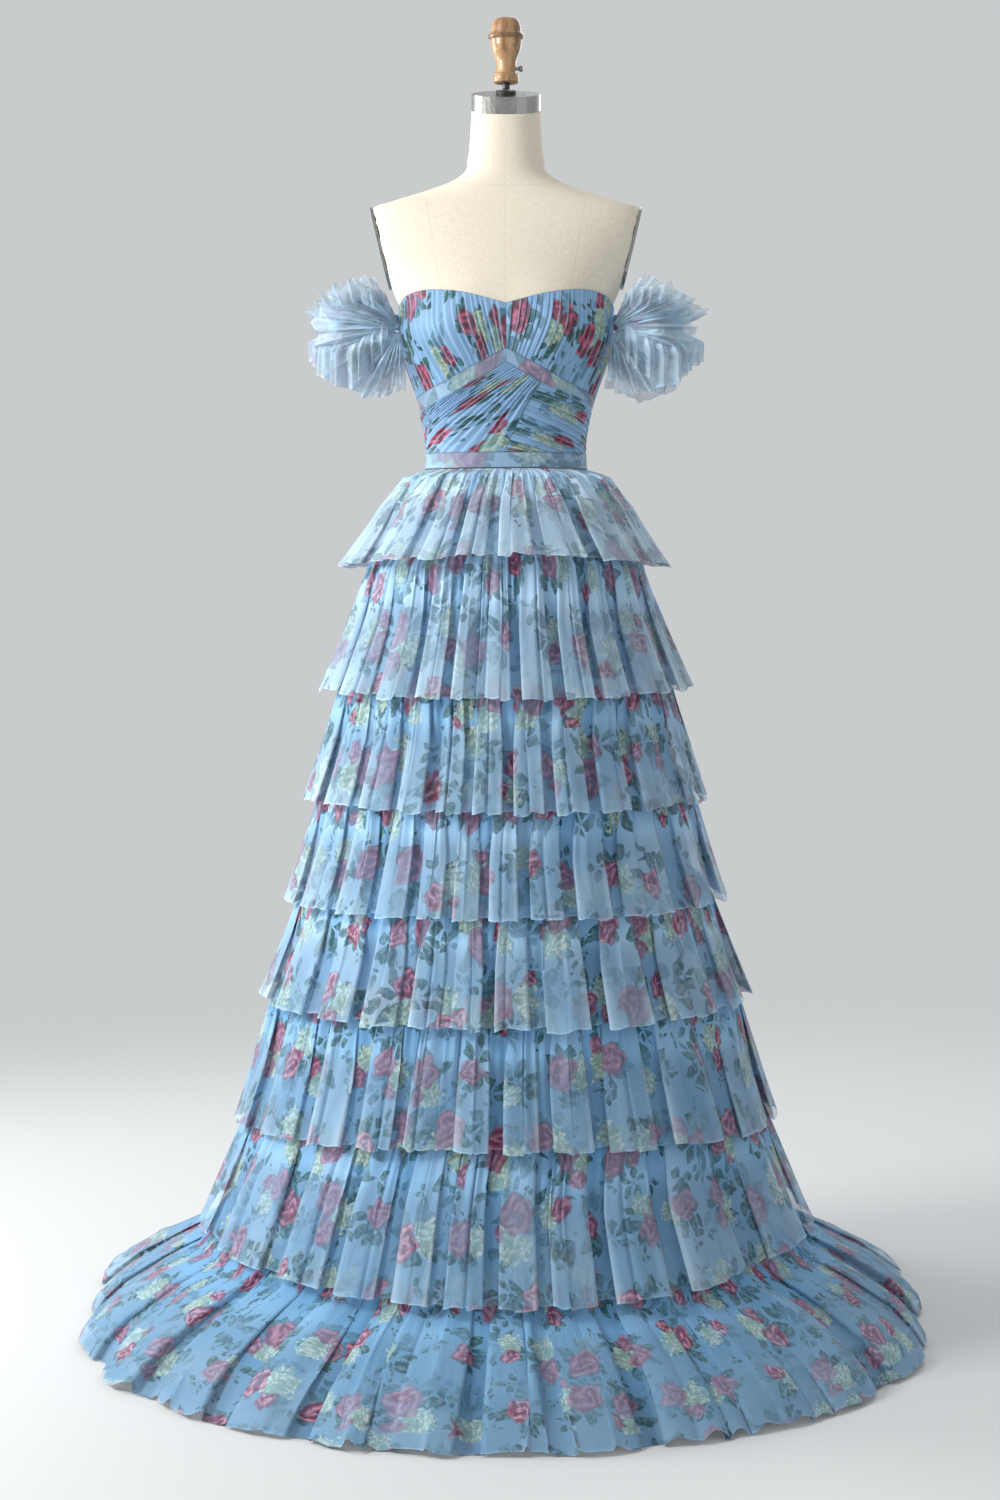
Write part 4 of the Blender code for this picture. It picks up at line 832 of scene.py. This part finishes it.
def build_tier(name, seed):
    """A middle tier: gathered on the lining, out under the hem above, down to its own hem.
    Between these three its radius and height run along straight lines."""
    seam, emerge, emerge_r, hem, hem_r, hem_front, front_out, depth = TIERS[name]

    def shape(azimuth, v):
        front = front_share(azimuth) ** 2
        knee = (seam - emerge) / (seam - hem)
        hem_height = hem + (hem_front - hem) * front
        low = hem_r + front_out * front + train_reach(azimuth, hem)
        middle = emerge_r + train_reach(azimuth, emerge)
        high = lining_radius(azimuth, seam) + CLOTH_WALL + SEAM_GAP
        if v < knee:
            share = v / knee
            return high + (middle - high) * share, seam + (emerge - seam) * share
        share = (v - knee) / (1.0 - knee)
        return middle + (low - middle) * share, emerge + (hem_height - emerge) * share

    def depth_at(v):
        return FOLD_FULLNESS * depth * (0.30 * smooth_step(v, 0.0, 0.25)
                                        + 0.70 * smooth_step(v, 0.1, 1.0))

    points, edge, depth = tier_rows(name, seed, 42, shape, depth_at)
    material = LOW_TULLE if seam < 0.6 else TULLE if seam < 1.0 else TOP_TULLE
    finish_tier(name, points, edge, depth, seed, material)


def ring_rows(rings, azimuth, v):
    """Radius, height and fold depth on a table of rings by straight lines. v runs from 0 at
    the first ring to 1 at the last, along the rings' outline at the side."""
    lengths = along(rings[:, :2], 0)
    lengths = lengths / lengths[-1]
    height, half_width, front, back, fold = (np.interp(v, lengths, rings[:, k])
                                             for k in range(5))
    radius = (oval_radius(azimuth, half_width, front, back, ring_power(height))
              + train_reach(azimuth, height))
    return radius, height, fold


def build_tier_1(seed):
    """The first tier puffs out from the waistband over a few wide folds. Its rings sink by
    half a sine wave between seam and hem, and its hem rises at the front."""
    def shape(azimuth, v):
        radius, height, _ = ring_rows(TIER_1_RINGS, azimuth, v)
        rise = TIER_1_FRONT_RISE * front_share(azimuth) ** 2 * v
        return radius - TIER_1_HOLLOW * np.sin(np.pi * v ** 0.8), height + rise

    points, edge, depth = tier_rows("tier_1", seed, 46, shape,
                                    lambda v: float(ring_rows(TIER_1_RINGS, 0.0, v)[2]) * 1.15)
    finish_tier("tier_1", points, edge, depth * 0.7, seed,
                PALE_TULLE)


def build_tier_8(seed):
    """The last tier falls to the floor and spreads on it in soft folds, far out behind.
    The folds sink square to the surface: inwards by its steepness, the rise between two
    near rows over the way between them, and down by how level it is. The hem ripples and
    turns up by sine waves round it."""
    dice = np.random.default_rng(seed)
    azimuth, depth, drop, edge = fold_columns("tier_8", seed, 0.35, 28)
    columns = len(azimuth)
    base, _, _ = ring_rows(TIER_8_RINGS, azimuth, 1.0)
    start = seam_azimuths(azimuth, base - TIER_8_RINGS[-1, 4] * depth)
    fine, middle, sway, drift, curl, wide = (
        ripples(columns, waves, dice, layers) for waves, layers in
        ((columns / 7.0, 3), (columns / 16.0, 3), (41, 4), (11, 3), (58, 3), (17, 3)))
    uneven = 0.72 + 0.55 * ripples(columns, 13, dice, 3)
    front = front_share(azimuth)
    grid = []
    for v in np.linspace(1.0, 0.0, 84):
        blend = smooth_step(v, -0.1, 0.55)
        turn = start + (azimuth - start) * blend
        turn = turn + (0.7 * sway + 1.5 * drift) * np.sin(np.pi * v)
        radius, height, fold = ring_rows(TIER_8_RINGS, turn, v)
        outer, low, _ = ring_rows(TIER_8_RINGS, turn, min(v + 0.01, 1.0))
        inner, high, _ = ring_rows(TIER_8_RINGS, turn, max(v - 0.01, 0.0))
        steep = (high - low) / np.maximum(np.hypot(outer - inner, high - low), 1e-6)
        level = np.sqrt(1.0 - np.minimum(steep**2, 1.0))
        sunk = fold * depth * uneven * (0.3 + 0.7 * blend) + TRAIN_SWAY * sway * np.sin(np.pi * v)
        turned_up = np.maximum(curl + 0.35 * wide, 0.0) * v**7
        lift = CREST_LIFT * v**2 * (1.0 - depth) + CURL_UP * turned_up
        radius = radius - sunk * steep * 1.15 - sunk * 0.35 * v - CURL_IN * turned_up
        height = height - sunk * level * 0.9 + lift * (0.5 + 0.5 * level)
        gather = (1.0 - v) ** 1.2 * min(1.0, 9.0 * v + 0.12)
        radius = radius + gather * (0.0026 * fine + WIDE_GATHER * middle + 0.0028)
        radius = radius + (TRAIN_WANDER * wide + 0.0040 * curl - HEM_STEP * drop
                           + TRAIN_FRONT_OUT * front) * v**4
        grid.append(polar(turn, radius, np.maximum(height, CLEAR_OF_FLOOR * (5.0 - 3.0 * depth))))
    finish_tier("tier_8", np.array(grid), edge, depth * uneven, seed,
                TRAIN_TULLE)


def build_lining():
    """The plain lining skirt, rings of the lining's radius from the hem to the waist."""
    heights = np.concatenate((np.linspace(0.012, 1.10, 40), np.linspace(1.115, 1.1985, 8)))
    azimuth = np.arange(0.0, 360.0, 3.0)
    points = np.array([polar(azimuth, lining_radius(azimuth, height), height)
                       for height in heights])
    around_hem, up = along(ring_closed(points[0]), 0), along(points, 0).mean(axis=1)
    piece = grid_piece("lining_skirt", points, flat_map(around_hem, up), LINING, True,
                       ("underskirt",))
    surface_area(points, True)


# ---- bodice

NECKLINE = np.array(((0, 1.4190), (13, 1.4255), (24, 1.4315), (40, 1.4372), (55, 1.4385),
                     (68, 1.4330), (76, 1.4250), (86, 1.4190), (95, 1.4150), (125, 1.4050),
                     (180, 1.4000)))
HALF_SEAM_DEG, ZIP_GAP_DEG, PLEAT_BEND_DEG, PLEAT_END_SHARE = 0.12, 0.35, 0.5, 0.45
SIDES = ((-1.0, "left"), (1.0, "right"))
ZIP_TOP, COIL_HALF_DEG = 1.3990, 0.62
# the crossed drapes: where each leaves the waist, where they cross under the band, and how
# much of its side edge lies before the corner
OVER_FOOT_DEG, UNDER_FOOT_DEG, CROSS_DEG, CROSS_SPAN_DEG, LEG_SHARE = -2.0, 10.6, 27.3, 29.0, 0.45
BAND_TOP = np.array(((0, 1.3590), (26, 1.3340), (48, 1.3150), (71, 1.3010), (95, 1.2950)))


def edge_line(azimuth, height):
    """One edge of a sheet, each point an azimuth and a height."""
    return np.stack(np.broadcast_arrays(azimuth, height), -1)


def edge_height(table, azimuth):
    """An edge's height at an azimuth, the same on both sides."""
    return table_curve(table[:, 0], table[:, 1], np.minimum(np.abs(azimuth), table[-1, 0]))


def pleat_line(columns, pleats, dice):
    """Fine uneven pleats across a sheet: heights from 0 to 1, each with a soft rise and a
    sharper fall, and a mark on its upper edge, where the chiffon gets a painted highlight."""
    edges = np.cumsum(dice.uniform(0.55, 1.45, pleats))
    edges = np.concatenate(((0.0,), edges)) / edges[-1]
    place = np.linspace(0.0, 1.0, columns)
    number = np.clip(np.searchsorted(edges, place, side="right") - 1, 0, pleats - 1)
    local = (place - edges[number]) / (edges[number + 1] - edges[number])
    tall = dice.uniform(0.55, 1.0, pleats)[number]
    rise = smooth_step(local, 0.0, 0.62) * (1.0 - smooth_step(local, 0.80, 1.0))
    mark = np.exp(-((local - 0.74) / 0.10) ** 2)
    hidden = np.clip((local - 0.80) / 0.20, 0.0, 1.0)
    return rise * tall, mark, number + hidden


def pleated_sheet(name, starts, ends, rows, pleats, height, seed, replaced, material,
                  lift=0.0, squeeze=2.1, flip=False):
    """A sheet on the form between two edges, its rows by straight lines from the start edge
    to the end edge. Pleats run the same way, as ridges that sink to PLEAT_END_SHARE of
    their height at both edges by a sine wave. squeeze is how many times the sheet's width
    its cloth is before pleating, and lift how far it lies off the cloth under it."""
    dice = np.random.default_rng(seed)
    columns = starts.shape[0]
    crest, mark, hidden = (pleat_line(columns, pleats, dice) if pleats
                           else (np.zeros(columns),) * 3)
    bend = np.sin(dice.uniform(2.0, 4.0) * np.linspace(0, 3, columns))
    share = np.linspace(0.0, 1.0, rows)[:, None]
    azimuth, up = (starts[:, k] + (ends[:, k] - starts[:, k]) * share for k in (0, 1))
    inside = np.sin(np.pi * share)
    azimuth = azimuth + PLEAT_BEND_DEG * bool(pleats) * bend * inside * edge_fade(columns)
    stands = PLEAT_END_SHARE + (1.0 - PLEAT_END_SHARE) * inside
    radius = form_radius(azimuth, up) + BODICE_LIFT + lift + height * crest * stands
    points = polar(azimuth, radius, up)
    if flip:
        points = points[:, ::-1]
        mark, hidden = mark[::-1], hidden[-1] - hidden[::-1]
    across, long = along(points, 1), along(points, 0)
    whole = across[:, -1].mean()
    flat = across.mean(axis=0) + hidden * whole * (squeeze - 1.0) / max(pleats, 1)
    uv = np.stack((flat + seed * 0.61 + np.zeros_like(across), long + seed * 0.17), -1)
    # fold_edge places the chiffon's painted highlight on the pleats, and hem, the distance to the
    # nearer of the start and end edges, its painted shade line
    marks = {"fold_edge": np.broadcast_to(mark, long.shape),
             "hem": np.minimum(long, long[-1:] - long)}
    piece = grid_piece(name, points, uv, material, False, (replaced,), marks)
    length, true = float(long[-1].mean()), surface_area(points, False)


def edge_fade(columns):
    """0 at a sheet's two side edges and 1 inside."""
    place = np.linspace(0.0, 1.0, columns)
    return smooth_step(place, 0.0, 0.1) * (1.0 - smooth_step(place, 0.9, 1.0))


def two_leg_path(corners, share):
    """Points on a path of two straight legs, its corner at LEG_SHARE of the share."""
    return np.stack([np.interp(share, (0.0, LEG_SHARE, 1.0), leg) for leg in zip(*corners)], -1)


def band_foot(azimuth):
    """The underbust band's lower edge, its width below the upper one."""
    return edge_height(BAND_TOP, azimuth) - BAND_WIDTH - 0.0006


def build_bodice():
    """Cups, underbust band, crossed midriff drapes, waistband and back panels."""
    turn = HALF_SEAM_DEG
    for side, label in SIDES:
        mirrored = side < 0
        share = np.linspace(0.0, 1.0, 330)
        low, high = (turn + (SIDE_SEAM - 2 * turn) * share ** power for power in (1.25, 0.85))
        pleated_sheet("cup_drape_" + label,
                      edge_line(side * low, edge_height(BAND_TOP, low) + 0.0002),
                      edge_line(side * high, edge_height(NECKLINE, high)), 26, 25, 0.0023,
                      11 + int(side), "cup_" + label, CHIFFON, flip=mirrored)
        band = np.linspace(turn, SIDE_SEAM - turn, 60)
        pleated_sheet("bust_band_" + label, edge_line(side * band, band_foot(band)),
                      edge_line(side * band, edge_height(BAND_TOP, band) - 0.0002), 8, 0, 0.0,
                      21 + int(side), "underbust_band_" + label, BAND,
                      lift=0.0009, squeeze=1.0, flip=mirrored)
        back = np.linspace(SIDE_SEAM + turn, 180.0 - ZIP_GAP_DEG, 150)
        pleated_sheet("back_panel_" + label, edge_line(side * back, WAIST_HEIGHT + 0.0004),
                      edge_line(side * back, edge_height(NECKLINE, back)), 40, 9, 0.0009,
                      31 + int(side), "back_" + label, CHIFFON,
                      squeeze=1.5, flip=mirrored)
    # the drape on top runs from its waist and right side to the band, the other under it
    share = np.linspace(0.0, 1.0, 420)
    side, foot = SIDE_SEAM - turn, WAIST_HEIGHT + 0.0003
    starts = two_leg_path(((OVER_FOOT_DEG, foot), (-side, foot), (-side, band_foot(side) - 0.010)),
                          share)
    across = np.interp(share, (0.0, 0.70, 1.0), (CROSS_DEG - 0.3, 0.0, -side))
    pleated_sheet("midriff_wrap_over", starts, edge_line(across, band_foot(across)), 30, 22,
                  0.0024, 41, "midriff_over", CHIFFON, lift=0.0014, flip=True)
    share = np.linspace(0.0, 1.0, 300)
    top = band_foot(CROSS_DEG)
    near = edge_line(CROSS_DEG - CROSS_SPAN_DEG * share, top + (foot - top) * share)
    far = two_leg_path(((side, band_foot(side)), (side, foot), (UNDER_FOOT_DEG, foot)), share)
    pleated_sheet("midriff_wrap_under", near, far, 30, 15, 0.0022, 43, "midriff_under", CHIFFON,
                  lift=0.0008, flip=True)
    azimuth = np.linspace(-179.4, 179.4, 240)
    pleated_sheet("waist_ribbon", edge_line(azimuth, WAIST_HEIGHT - WAISTBAND_WIDTH),
                  edge_line(azimuth, WAIST_HEIGHT), 8, 0, 0.0, 51, "waistband", BAND,
                  lift=0.0030, squeeze=1.0)


def build_zip_coil():
    """The zip's closed coil in the gap between the back panels: a strip on the form that
    bulges by a cosine across it."""
    heights = np.linspace(WAIST_HEIGHT + 0.001, ZIP_TOP, 60)[:, None]
    azimuth = 180.0 + np.linspace(-COIL_HALF_DEG, COIL_HALF_DEG, 5)[None, :]
    radius = form_radius((azimuth + 180.0) % 360.0 - 180.0, heights) + 0.0011
    points = polar(azimuth, radius + 0.0005 * np.cos(np.linspace(-1.4, 1.4, 5)), heights)
    uv = np.stack((along(points, 1), along(points, 0)), -1)
    grid_piece("zip_coil", points, uv, COIL, False)


# ---- sleeves

LOOP_X, LOOP_HALF_WIDTH, LOOP_HALF_DEPTH, LOOP_HEIGHT = 0.1920, 0.050, 0.060, 1.398
LOOP_END_DEG, RUFFLE_END_DEG = 151.0, 128.0
LOOP_HALF_THICK, LOOP_HALF_TALL, LOOP_GIRTH = 0.00235, 0.0063, 0.032
FAN_X, FAN_HEIGHT, FAN_BULGE_SPAN = 0.144, 1.391, 0.135
# angles up from level, and how far a fan reaches there
FAN_OUTLINE = ((-100, -80, -60, -30, 0, 30, 50, 70, 85),
               (0.066, 0.088, 0.108, 0.121, 0.120, 0.104, 0.086, 0.069, 0.058))


def jagged_line(place, teeth, dice):
    """Random heights from -1 to 1, evenly spaced and joined by straight lines."""
    return np.interp(place * (teeth - 1), np.arange(teeth), dice.uniform(-1.0, 1.0, teeth))


def loop_point(side, phase):
    """A place on the gathered loop, a level ellipse that dips where it is outermost, at
    phase 0. A phase above 0 is to the back."""
    turn = np.radians(phase)
    rise = 0.006 - 0.010 * np.cos(turn / 2.0) ** 2
    return np.stack((side * (LOOP_X + LOOP_HALF_WIDTH * np.cos(turn)),
                     LOOP_HALF_DEPTH * np.sin(turn), LOOP_HEIGHT + rise), -1)


def loop_lean(side, phase):
    """The direction a ruffle leans: away from the loop's middle and from the form."""
    turn = np.radians(phase)
    lean = np.stack((side * (0.72 * np.cos(turn) + 0.42), np.sin(turn),
                     np.zeros_like(turn)), -1)
    return lean / np.linalg.norm(lean, axis=-1, keepdims=True)


def build_ruffle(name, side, table, pleats, seed, replaces):
    """A fan of sheer cloth that leaves the loop in radiating pleats: sine waves of three
    pitches along the loop, which swing out along the lean and grow to the free edge.
    table holds rise, out and wave rows from the loop to the free edge."""
    dice = np.random.default_rng(seed)
    columns, rows = 380, 22
    table = np.array(table)
    place = np.linspace(0.0, 1.0, columns)
    phase = -RUFFLE_END_DEG + 2.0 * RUFFLE_END_DEG * place
    waves = np.zeros(columns)
    for count, share in ((5, 0.55), (pleats, 0.62), (pleats * 1.9, 0.28)):
        waves += share * np.sin(2 * np.pi * count * place + dice.uniform(0, 6.3)
                                + 1.3 * np.sin(2 * np.pi * 3 * place + dice.uniform(0, 6.3)))
    jag = jagged_line(place, pleats + 2, dice)
    full = 0.45 + 0.55 * np.cos(np.radians(phase) / 2.0) ** 2
    long = np.interp(np.abs(phase), (0.0, 30.0, 60.0, 85.0, RUFFLE_END_DEG),
                     (0.42, 0.58, 0.92, 1.0, 0.66))
    spread = 9.0 * np.sin(2 * np.pi * pleats * place + 1.0) / pleats
    grid = []
    for v in np.linspace(0.0, 1.0, rows):
        rise, out, wave = (np.interp(v, np.linspace(0, 1, len(table)), table[:, k])
                           for k in range(3))
        turn = phase + spread * v
        off = out * full + (wave * 0.85 + 0.0012) * waves * min(1.0, v * 1.6 + 0.12)
        off = off + 0.003 * jag * v**2
        point = loop_point(side, phase) + loop_lean(side, turn) * off[:, None]
        point[:, 2] += rise * long * (1.0 + 0.09 * jag * v**3)
        grid.append(point)
    points, inner = np.array(grid), np.linspace(1.0, 0.0, rows)[:, None]
    rim = points[-1]
    if (table[-1, 0] > 0.0) == (side > 0.0):
        points, inner = points[::-1], inner[::-1]
    marks = {"fold_edge": np.clip(np.abs(waves) - 0.55, 0, 1), "gather": inner ** 2.0,
             "hem": inner * 0.08}
    gathered_sheet(name, points, False, rim, (seed * 0.29, seed * 0.11), SLEEVE_TULLE, replaces,
                   marks)


def build_loop(label, side):
    """The gathered band round the arm: an oval carried along the loop, its size swelling by
    sine waves along it."""
    dice = np.random.default_rng(61 + int(side))
    steps, sides = 200, 12
    phase = np.linspace(-LOOP_END_DEG, LOOP_END_DEG, steps)
    corner = np.linspace(0.0, 2.0 * np.pi, sides, endpoint=False)
    swell = 1.0 + 0.16 * ripples(steps, 46, dice) + 0.10 * ripples(steps, 90, dice)
    turn = np.radians(phase)
    outward = np.stack((side * np.cos(turn), np.sin(turn), 0 * turn), -1)
    centre = loop_point(side, phase)
    thick, tall = LOOP_HALF_THICK * swell, LOOP_HALF_TALL * swell
    points = (centre[None] + outward[None] * (np.cos(corner)[:, None] * thick)[..., None]
              + np.array((0, 0, 1.0)) * (np.sin(corner)[:, None] * tall)[..., None])
    points = points.transpose(1, 0, 2)
    if side < 0:
        points = points[:, ::-1]
    points = capped(points)
    uv = flat_map(np.linspace(0.0, LOOP_GIRTH, sides + 1), along(points, 0).mean(axis=1))
    shape = points.shape[:2]
    marks = {"fold_edge": np.zeros(shape), "hem": np.full(shape, 0.05)}
    grid_piece("sleeve_band_" + label, points, uv, CHIFFON, True,
               ("sleeve_" + label + "_loop",), marks)


def build_fan(name, side, back, reach, pleats, seed, turn=0.0):
    """A round fan of sheer cloth that leaves the bodice's corner in radiating pleats. Points
    run outwards at each angle up to the outline, on a dome that stands off the arm, and
    sine waves across the fan give the pleats. back is -1 in front of the arm, 1 behind."""
    dice = np.random.default_rng(seed)
    columns, rows = 300, 20
    place = np.linspace(0.0, 1.0, columns)
    angle = -95.0 + 157.0 * place + turn
    outline = np.interp(angle, *FAN_OUTLINE) * reach
    jag = jagged_line(place, pleats * 2, dice)
    phase = 2 * np.pi * pleats * place + 1.6 * np.sin(2 * np.pi * 3 * place + dice.uniform(0, 6))
    wave = 0.75 * np.sin(phase) + 0.25 * np.sin(2.7 * phase + 1.0) + 0.55 * np.sin(phase * 0.31)
    grid = []
    for v in np.linspace(0.0, 1.0, rows):
        away = outline * (0.10 + 0.90 * v) * (1.0 + 0.07 * jag * v**2)
        turned = np.radians(angle + 5.0 * np.cos(phase) * v / pleats * 6.0)
        x = FAN_X + away * np.cos(turned)
        z = FAN_HEIGHT + away * np.sin(turned)
        bulge = 0.037 + 0.033 * np.sin(np.pi * np.clip(away / FAN_BULGE_SPAN, 0.0, 1.0))
        y = bulge + 0.0065 * wave * v**0.8 - 0.006 * (1.0 - reach)
        grid.append(np.stack((side * x, back * y, z), -1))
    points = np.array(grid)
    if side * back > 0.0:
        points, wave = points[:, ::-1], wave[::-1]
    out = np.linspace(0.0, 1.0, rows)[:, None]
    marks = {"fold_edge": np.clip(wave, 0.0, 1.0) ** 3 * out, "gather": (1.0 - out) ** 1.6,
             "hem": (1.0 - out) * 0.09}
    gathered_sheet(name, points, False, points[-1], (seed * 0.29, seed * 0.11), SLEEVE_TULLE,
                   (), marks)


def build_sleeves():
    """Off-the-shoulder sleeves: each a gathered loop with ruffles all round it."""
    for side, label in SIDES:
        build_loop(label, side)
        seed = 71 + int(side) * 5
        build_ruffle("sleeve_fan_up_" + label, side,
                     ((0.0075, 0.0, 0.0), (0.030, 0.020, 0.004), (0.050, 0.030, 0.008)),
                     17, seed, ("sleeve_" + label + "_upper",))
        build_ruffle("sleeve_fall_" + label, side,
                     ((-0.0075, 0.0, 0.0), (-0.045, 0.026, 0.005), (-0.090, 0.022, 0.010)),
                     17, seed + 3, ("sleeve_" + label + "_lower",))
        for back, place in ((-1.0, "front"), (1.0, "back")):
            build_fan("sleeve_puff_" + place + "_" + label, side, back, 0.98, 19,
                      seed + 31 + int(back))
            build_fan("sleeve_puff_short_" + place + "_" + label, side, back, 0.70, 15,
                      seed + 41 + int(back), 4.0)


# ---- form and hardware

CHEST_ROW = 60


def build_form_cover():
    """The linen torso and neck: rings of the form's own radius, sheared on the neck so that
    its top slopes, and closed at both ends. Its cloth is as wide as the ring at the chest."""
    heights = np.concatenate((np.linspace(0.800, 1.55, 96), np.linspace(1.556, 1.6905, 30)))
    azimuth = np.arange(0.0, 360.0, 3.0)
    signed = (azimuth + 180.0) % 360.0 - 180.0
    grid = []
    for height in heights:
        points = polar(azimuth, form_radius(signed, height), height)
        share = np.clip((height - NECK_FOOT) / (NECK_TOP - NECK_FOOT), 0.0, 1.0)
        points[:, 2] += share * math.tan(NECK_TILT) * points[:, 1]
        grid.append(points)
    points = capped(np.array(grid))
    around_form = along(ring_closed(points[CHEST_ROW]), 0)
    up = along(points, 0).mean(axis=1)
    grid_piece("form_cover", points, flat_map(around_form, up), LINEN, True,
               ("form_torso",))


# radius and height
FINIAL_PROFILE = ((0.0000, 1.8146), (0.0100, 1.8142), (0.0152, 1.8124), (0.0186, 1.8086),
                  (0.0200, 1.8030), (0.0212, 1.7945), (0.0238, 1.7925), (0.0250, 1.7895),
                  (0.0240, 1.7865), (0.0216, 1.7845), (0.0210, 1.7765), (0.0190, 1.7690),
                  (0.0152, 1.7605), (0.0138, 1.7560), (0.0135, 1.7440), (0.0140, 1.7400),
                  (0.0172, 1.7378), (0.0180, 1.7330), (0.0174, 1.7284), (0.0160, 1.7264))
FINIAL_BORE = ((0.0, 1.7525), (0.0058, 1.7525), (0.0058, 1.7264))
FINIAL_GIRTH, FINIAL_STEPS = 0.1, 56
ROD_Y = -0.00704


def build_finial():
    """The turned wooden finial: its profile, by straight lines between its rows, and the
    rod's bore inside it, carried round the rod's axis."""
    rows = np.array(FINIAL_PROFILE)[::-1]
    length = along(rows, 0)
    fine = np.unique(np.concatenate((np.linspace(0.0, length[-1], 90), length)))
    smooth = np.stack([np.interp(fine, length, rows[:, k]) for k in (0, 1)], -1)
    profile = np.concatenate((FINIAL_BORE, smooth))
    azimuth = np.arange(FINIAL_STEPS) * 360.0 / FINIAL_STEPS
    points = np.array([polar(azimuth, radius, height) for radius, height in profile])
    points = points + np.array((0.0, ROD_Y, 0.0))
    uv = flat_map(np.linspace(0, FINIAL_GIRTH, FINIAL_STEPS + 1), along(profile, 0))
    grid_piece("turned_finial", points, uv, WOOD, True, ("finial",), None, "finial")


def dress_cad_nodes():
    """Gives the CAD nodes that stay their materials."""
    kept = {"arm_plate_left": STEEL, "arm_plate_right": STEEL, "neck_cap": STEEL,
            "thumb_screw": STEEL, "neck_collar": BLACK, "neck_rod": BLACK, "stand_pole": BLACK,
            "stand_base": BLACK, "zip_slider": ENAMEL, "zip_pull": ENAMEL}
    for name, material in kept.items():
        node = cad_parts[name]
        node.data.materials.clear()
        node.data.materials.append(material)


# ---- stage

FLOOR_HEIGHT, FLOOR_RINGS = -0.0005, (3.5, 2.0, 1.0, 0.3, 0.0)
# name, place, size, power and tint
LIGHTS = (
    ("key", (-2.15, -1.15, 2.15), 0.9, 70.0, (1.0, 0.985, 0.96)),
    ("side", (-2.6, 0.7, 1.5), 1.2, 54.0, (1.0, 0.99, 0.97)),
    ("fill", (2.8, -2.2, 1.4), 2.4, 7.0, (0.95, 0.97, 1.0)),
    ("back", (1.2, 3.0, 2.6), 2.0, 40.0, (1.0, 1.0, 1.0)),
)
LIGHTS_AIM = (0.0, 0.0, 0.8)
CAMERA_PLACE, CAMERA_AIM = (0.0, -3.9, 1.05), (-0.00833, 0.0, 0.8115)


def aimed(name, data, place, target):
    """A linked lamp or camera that looks at a target."""
    made = bpy.data.objects.new(name, data)
    made.location = place
    towards = Vector(target) - made.location
    made.rotation_euler = towards.to_track_quat("-Z", "Y").to_euler()
    scene.collection.objects.link(made)
    return made


def add_stage():
    """A pale floor that fades into the background, lights and the camera."""
    net = Net("studio floor")
    px, py, _ = net.split(net.object_place())
    away = net.math("SQRT", px * px + py * py)
    fade = net.step(away, 1.4, 3.4)
    net.finish(Base_Color=(0.59, 0.60, 0.605), Roughness=0.7, Specular_IOR_Level=0.2,
               Alpha=1.0 - fade)
    azimuth = np.arange(0.0, 360.0, 6.0)
    rings = np.array([polar(azimuth, radius, FLOOR_HEIGHT) for radius in FLOOR_RINGS])
    grid_mesh("studio_floor", rings, net.material, True)

    world = bpy.data.worlds.new("studio")
    world.use_nodes = True
    sky = world.node_tree.nodes["Background"].inputs
    sky["Color"].default_value, sky["Strength"].default_value = (0.78, 0.80, 0.81, 1.0), 0.75
    scene.world = world

    for name, place, size, power, tint in LIGHTS:
        light = bpy.data.lights.new(name, "AREA")
        light.size, light.energy, light.color = size, power, tint
        aimed(name, light, place, LIGHTS_AIM)

    lens = bpy.data.cameras.new("camera")
    lens.lens, lens.sensor_width, lens.clip_start = 67.4, 36.0, 0.05
    scene.camera = aimed("camera", lens, CAMERA_PLACE, CAMERA_AIM)
    scene.view_settings.view_transform = "Standard"


build_lining()
build_tier_1(101)
for number in range(2, 8):
    build_tier(f"tier_{number}", 100 + number)
build_tier_8(108)
build_bodice()
build_zip_coil()
build_sleeves()
build_form_cover()
build_finial()
dress_cad_nodes()
add_stage()
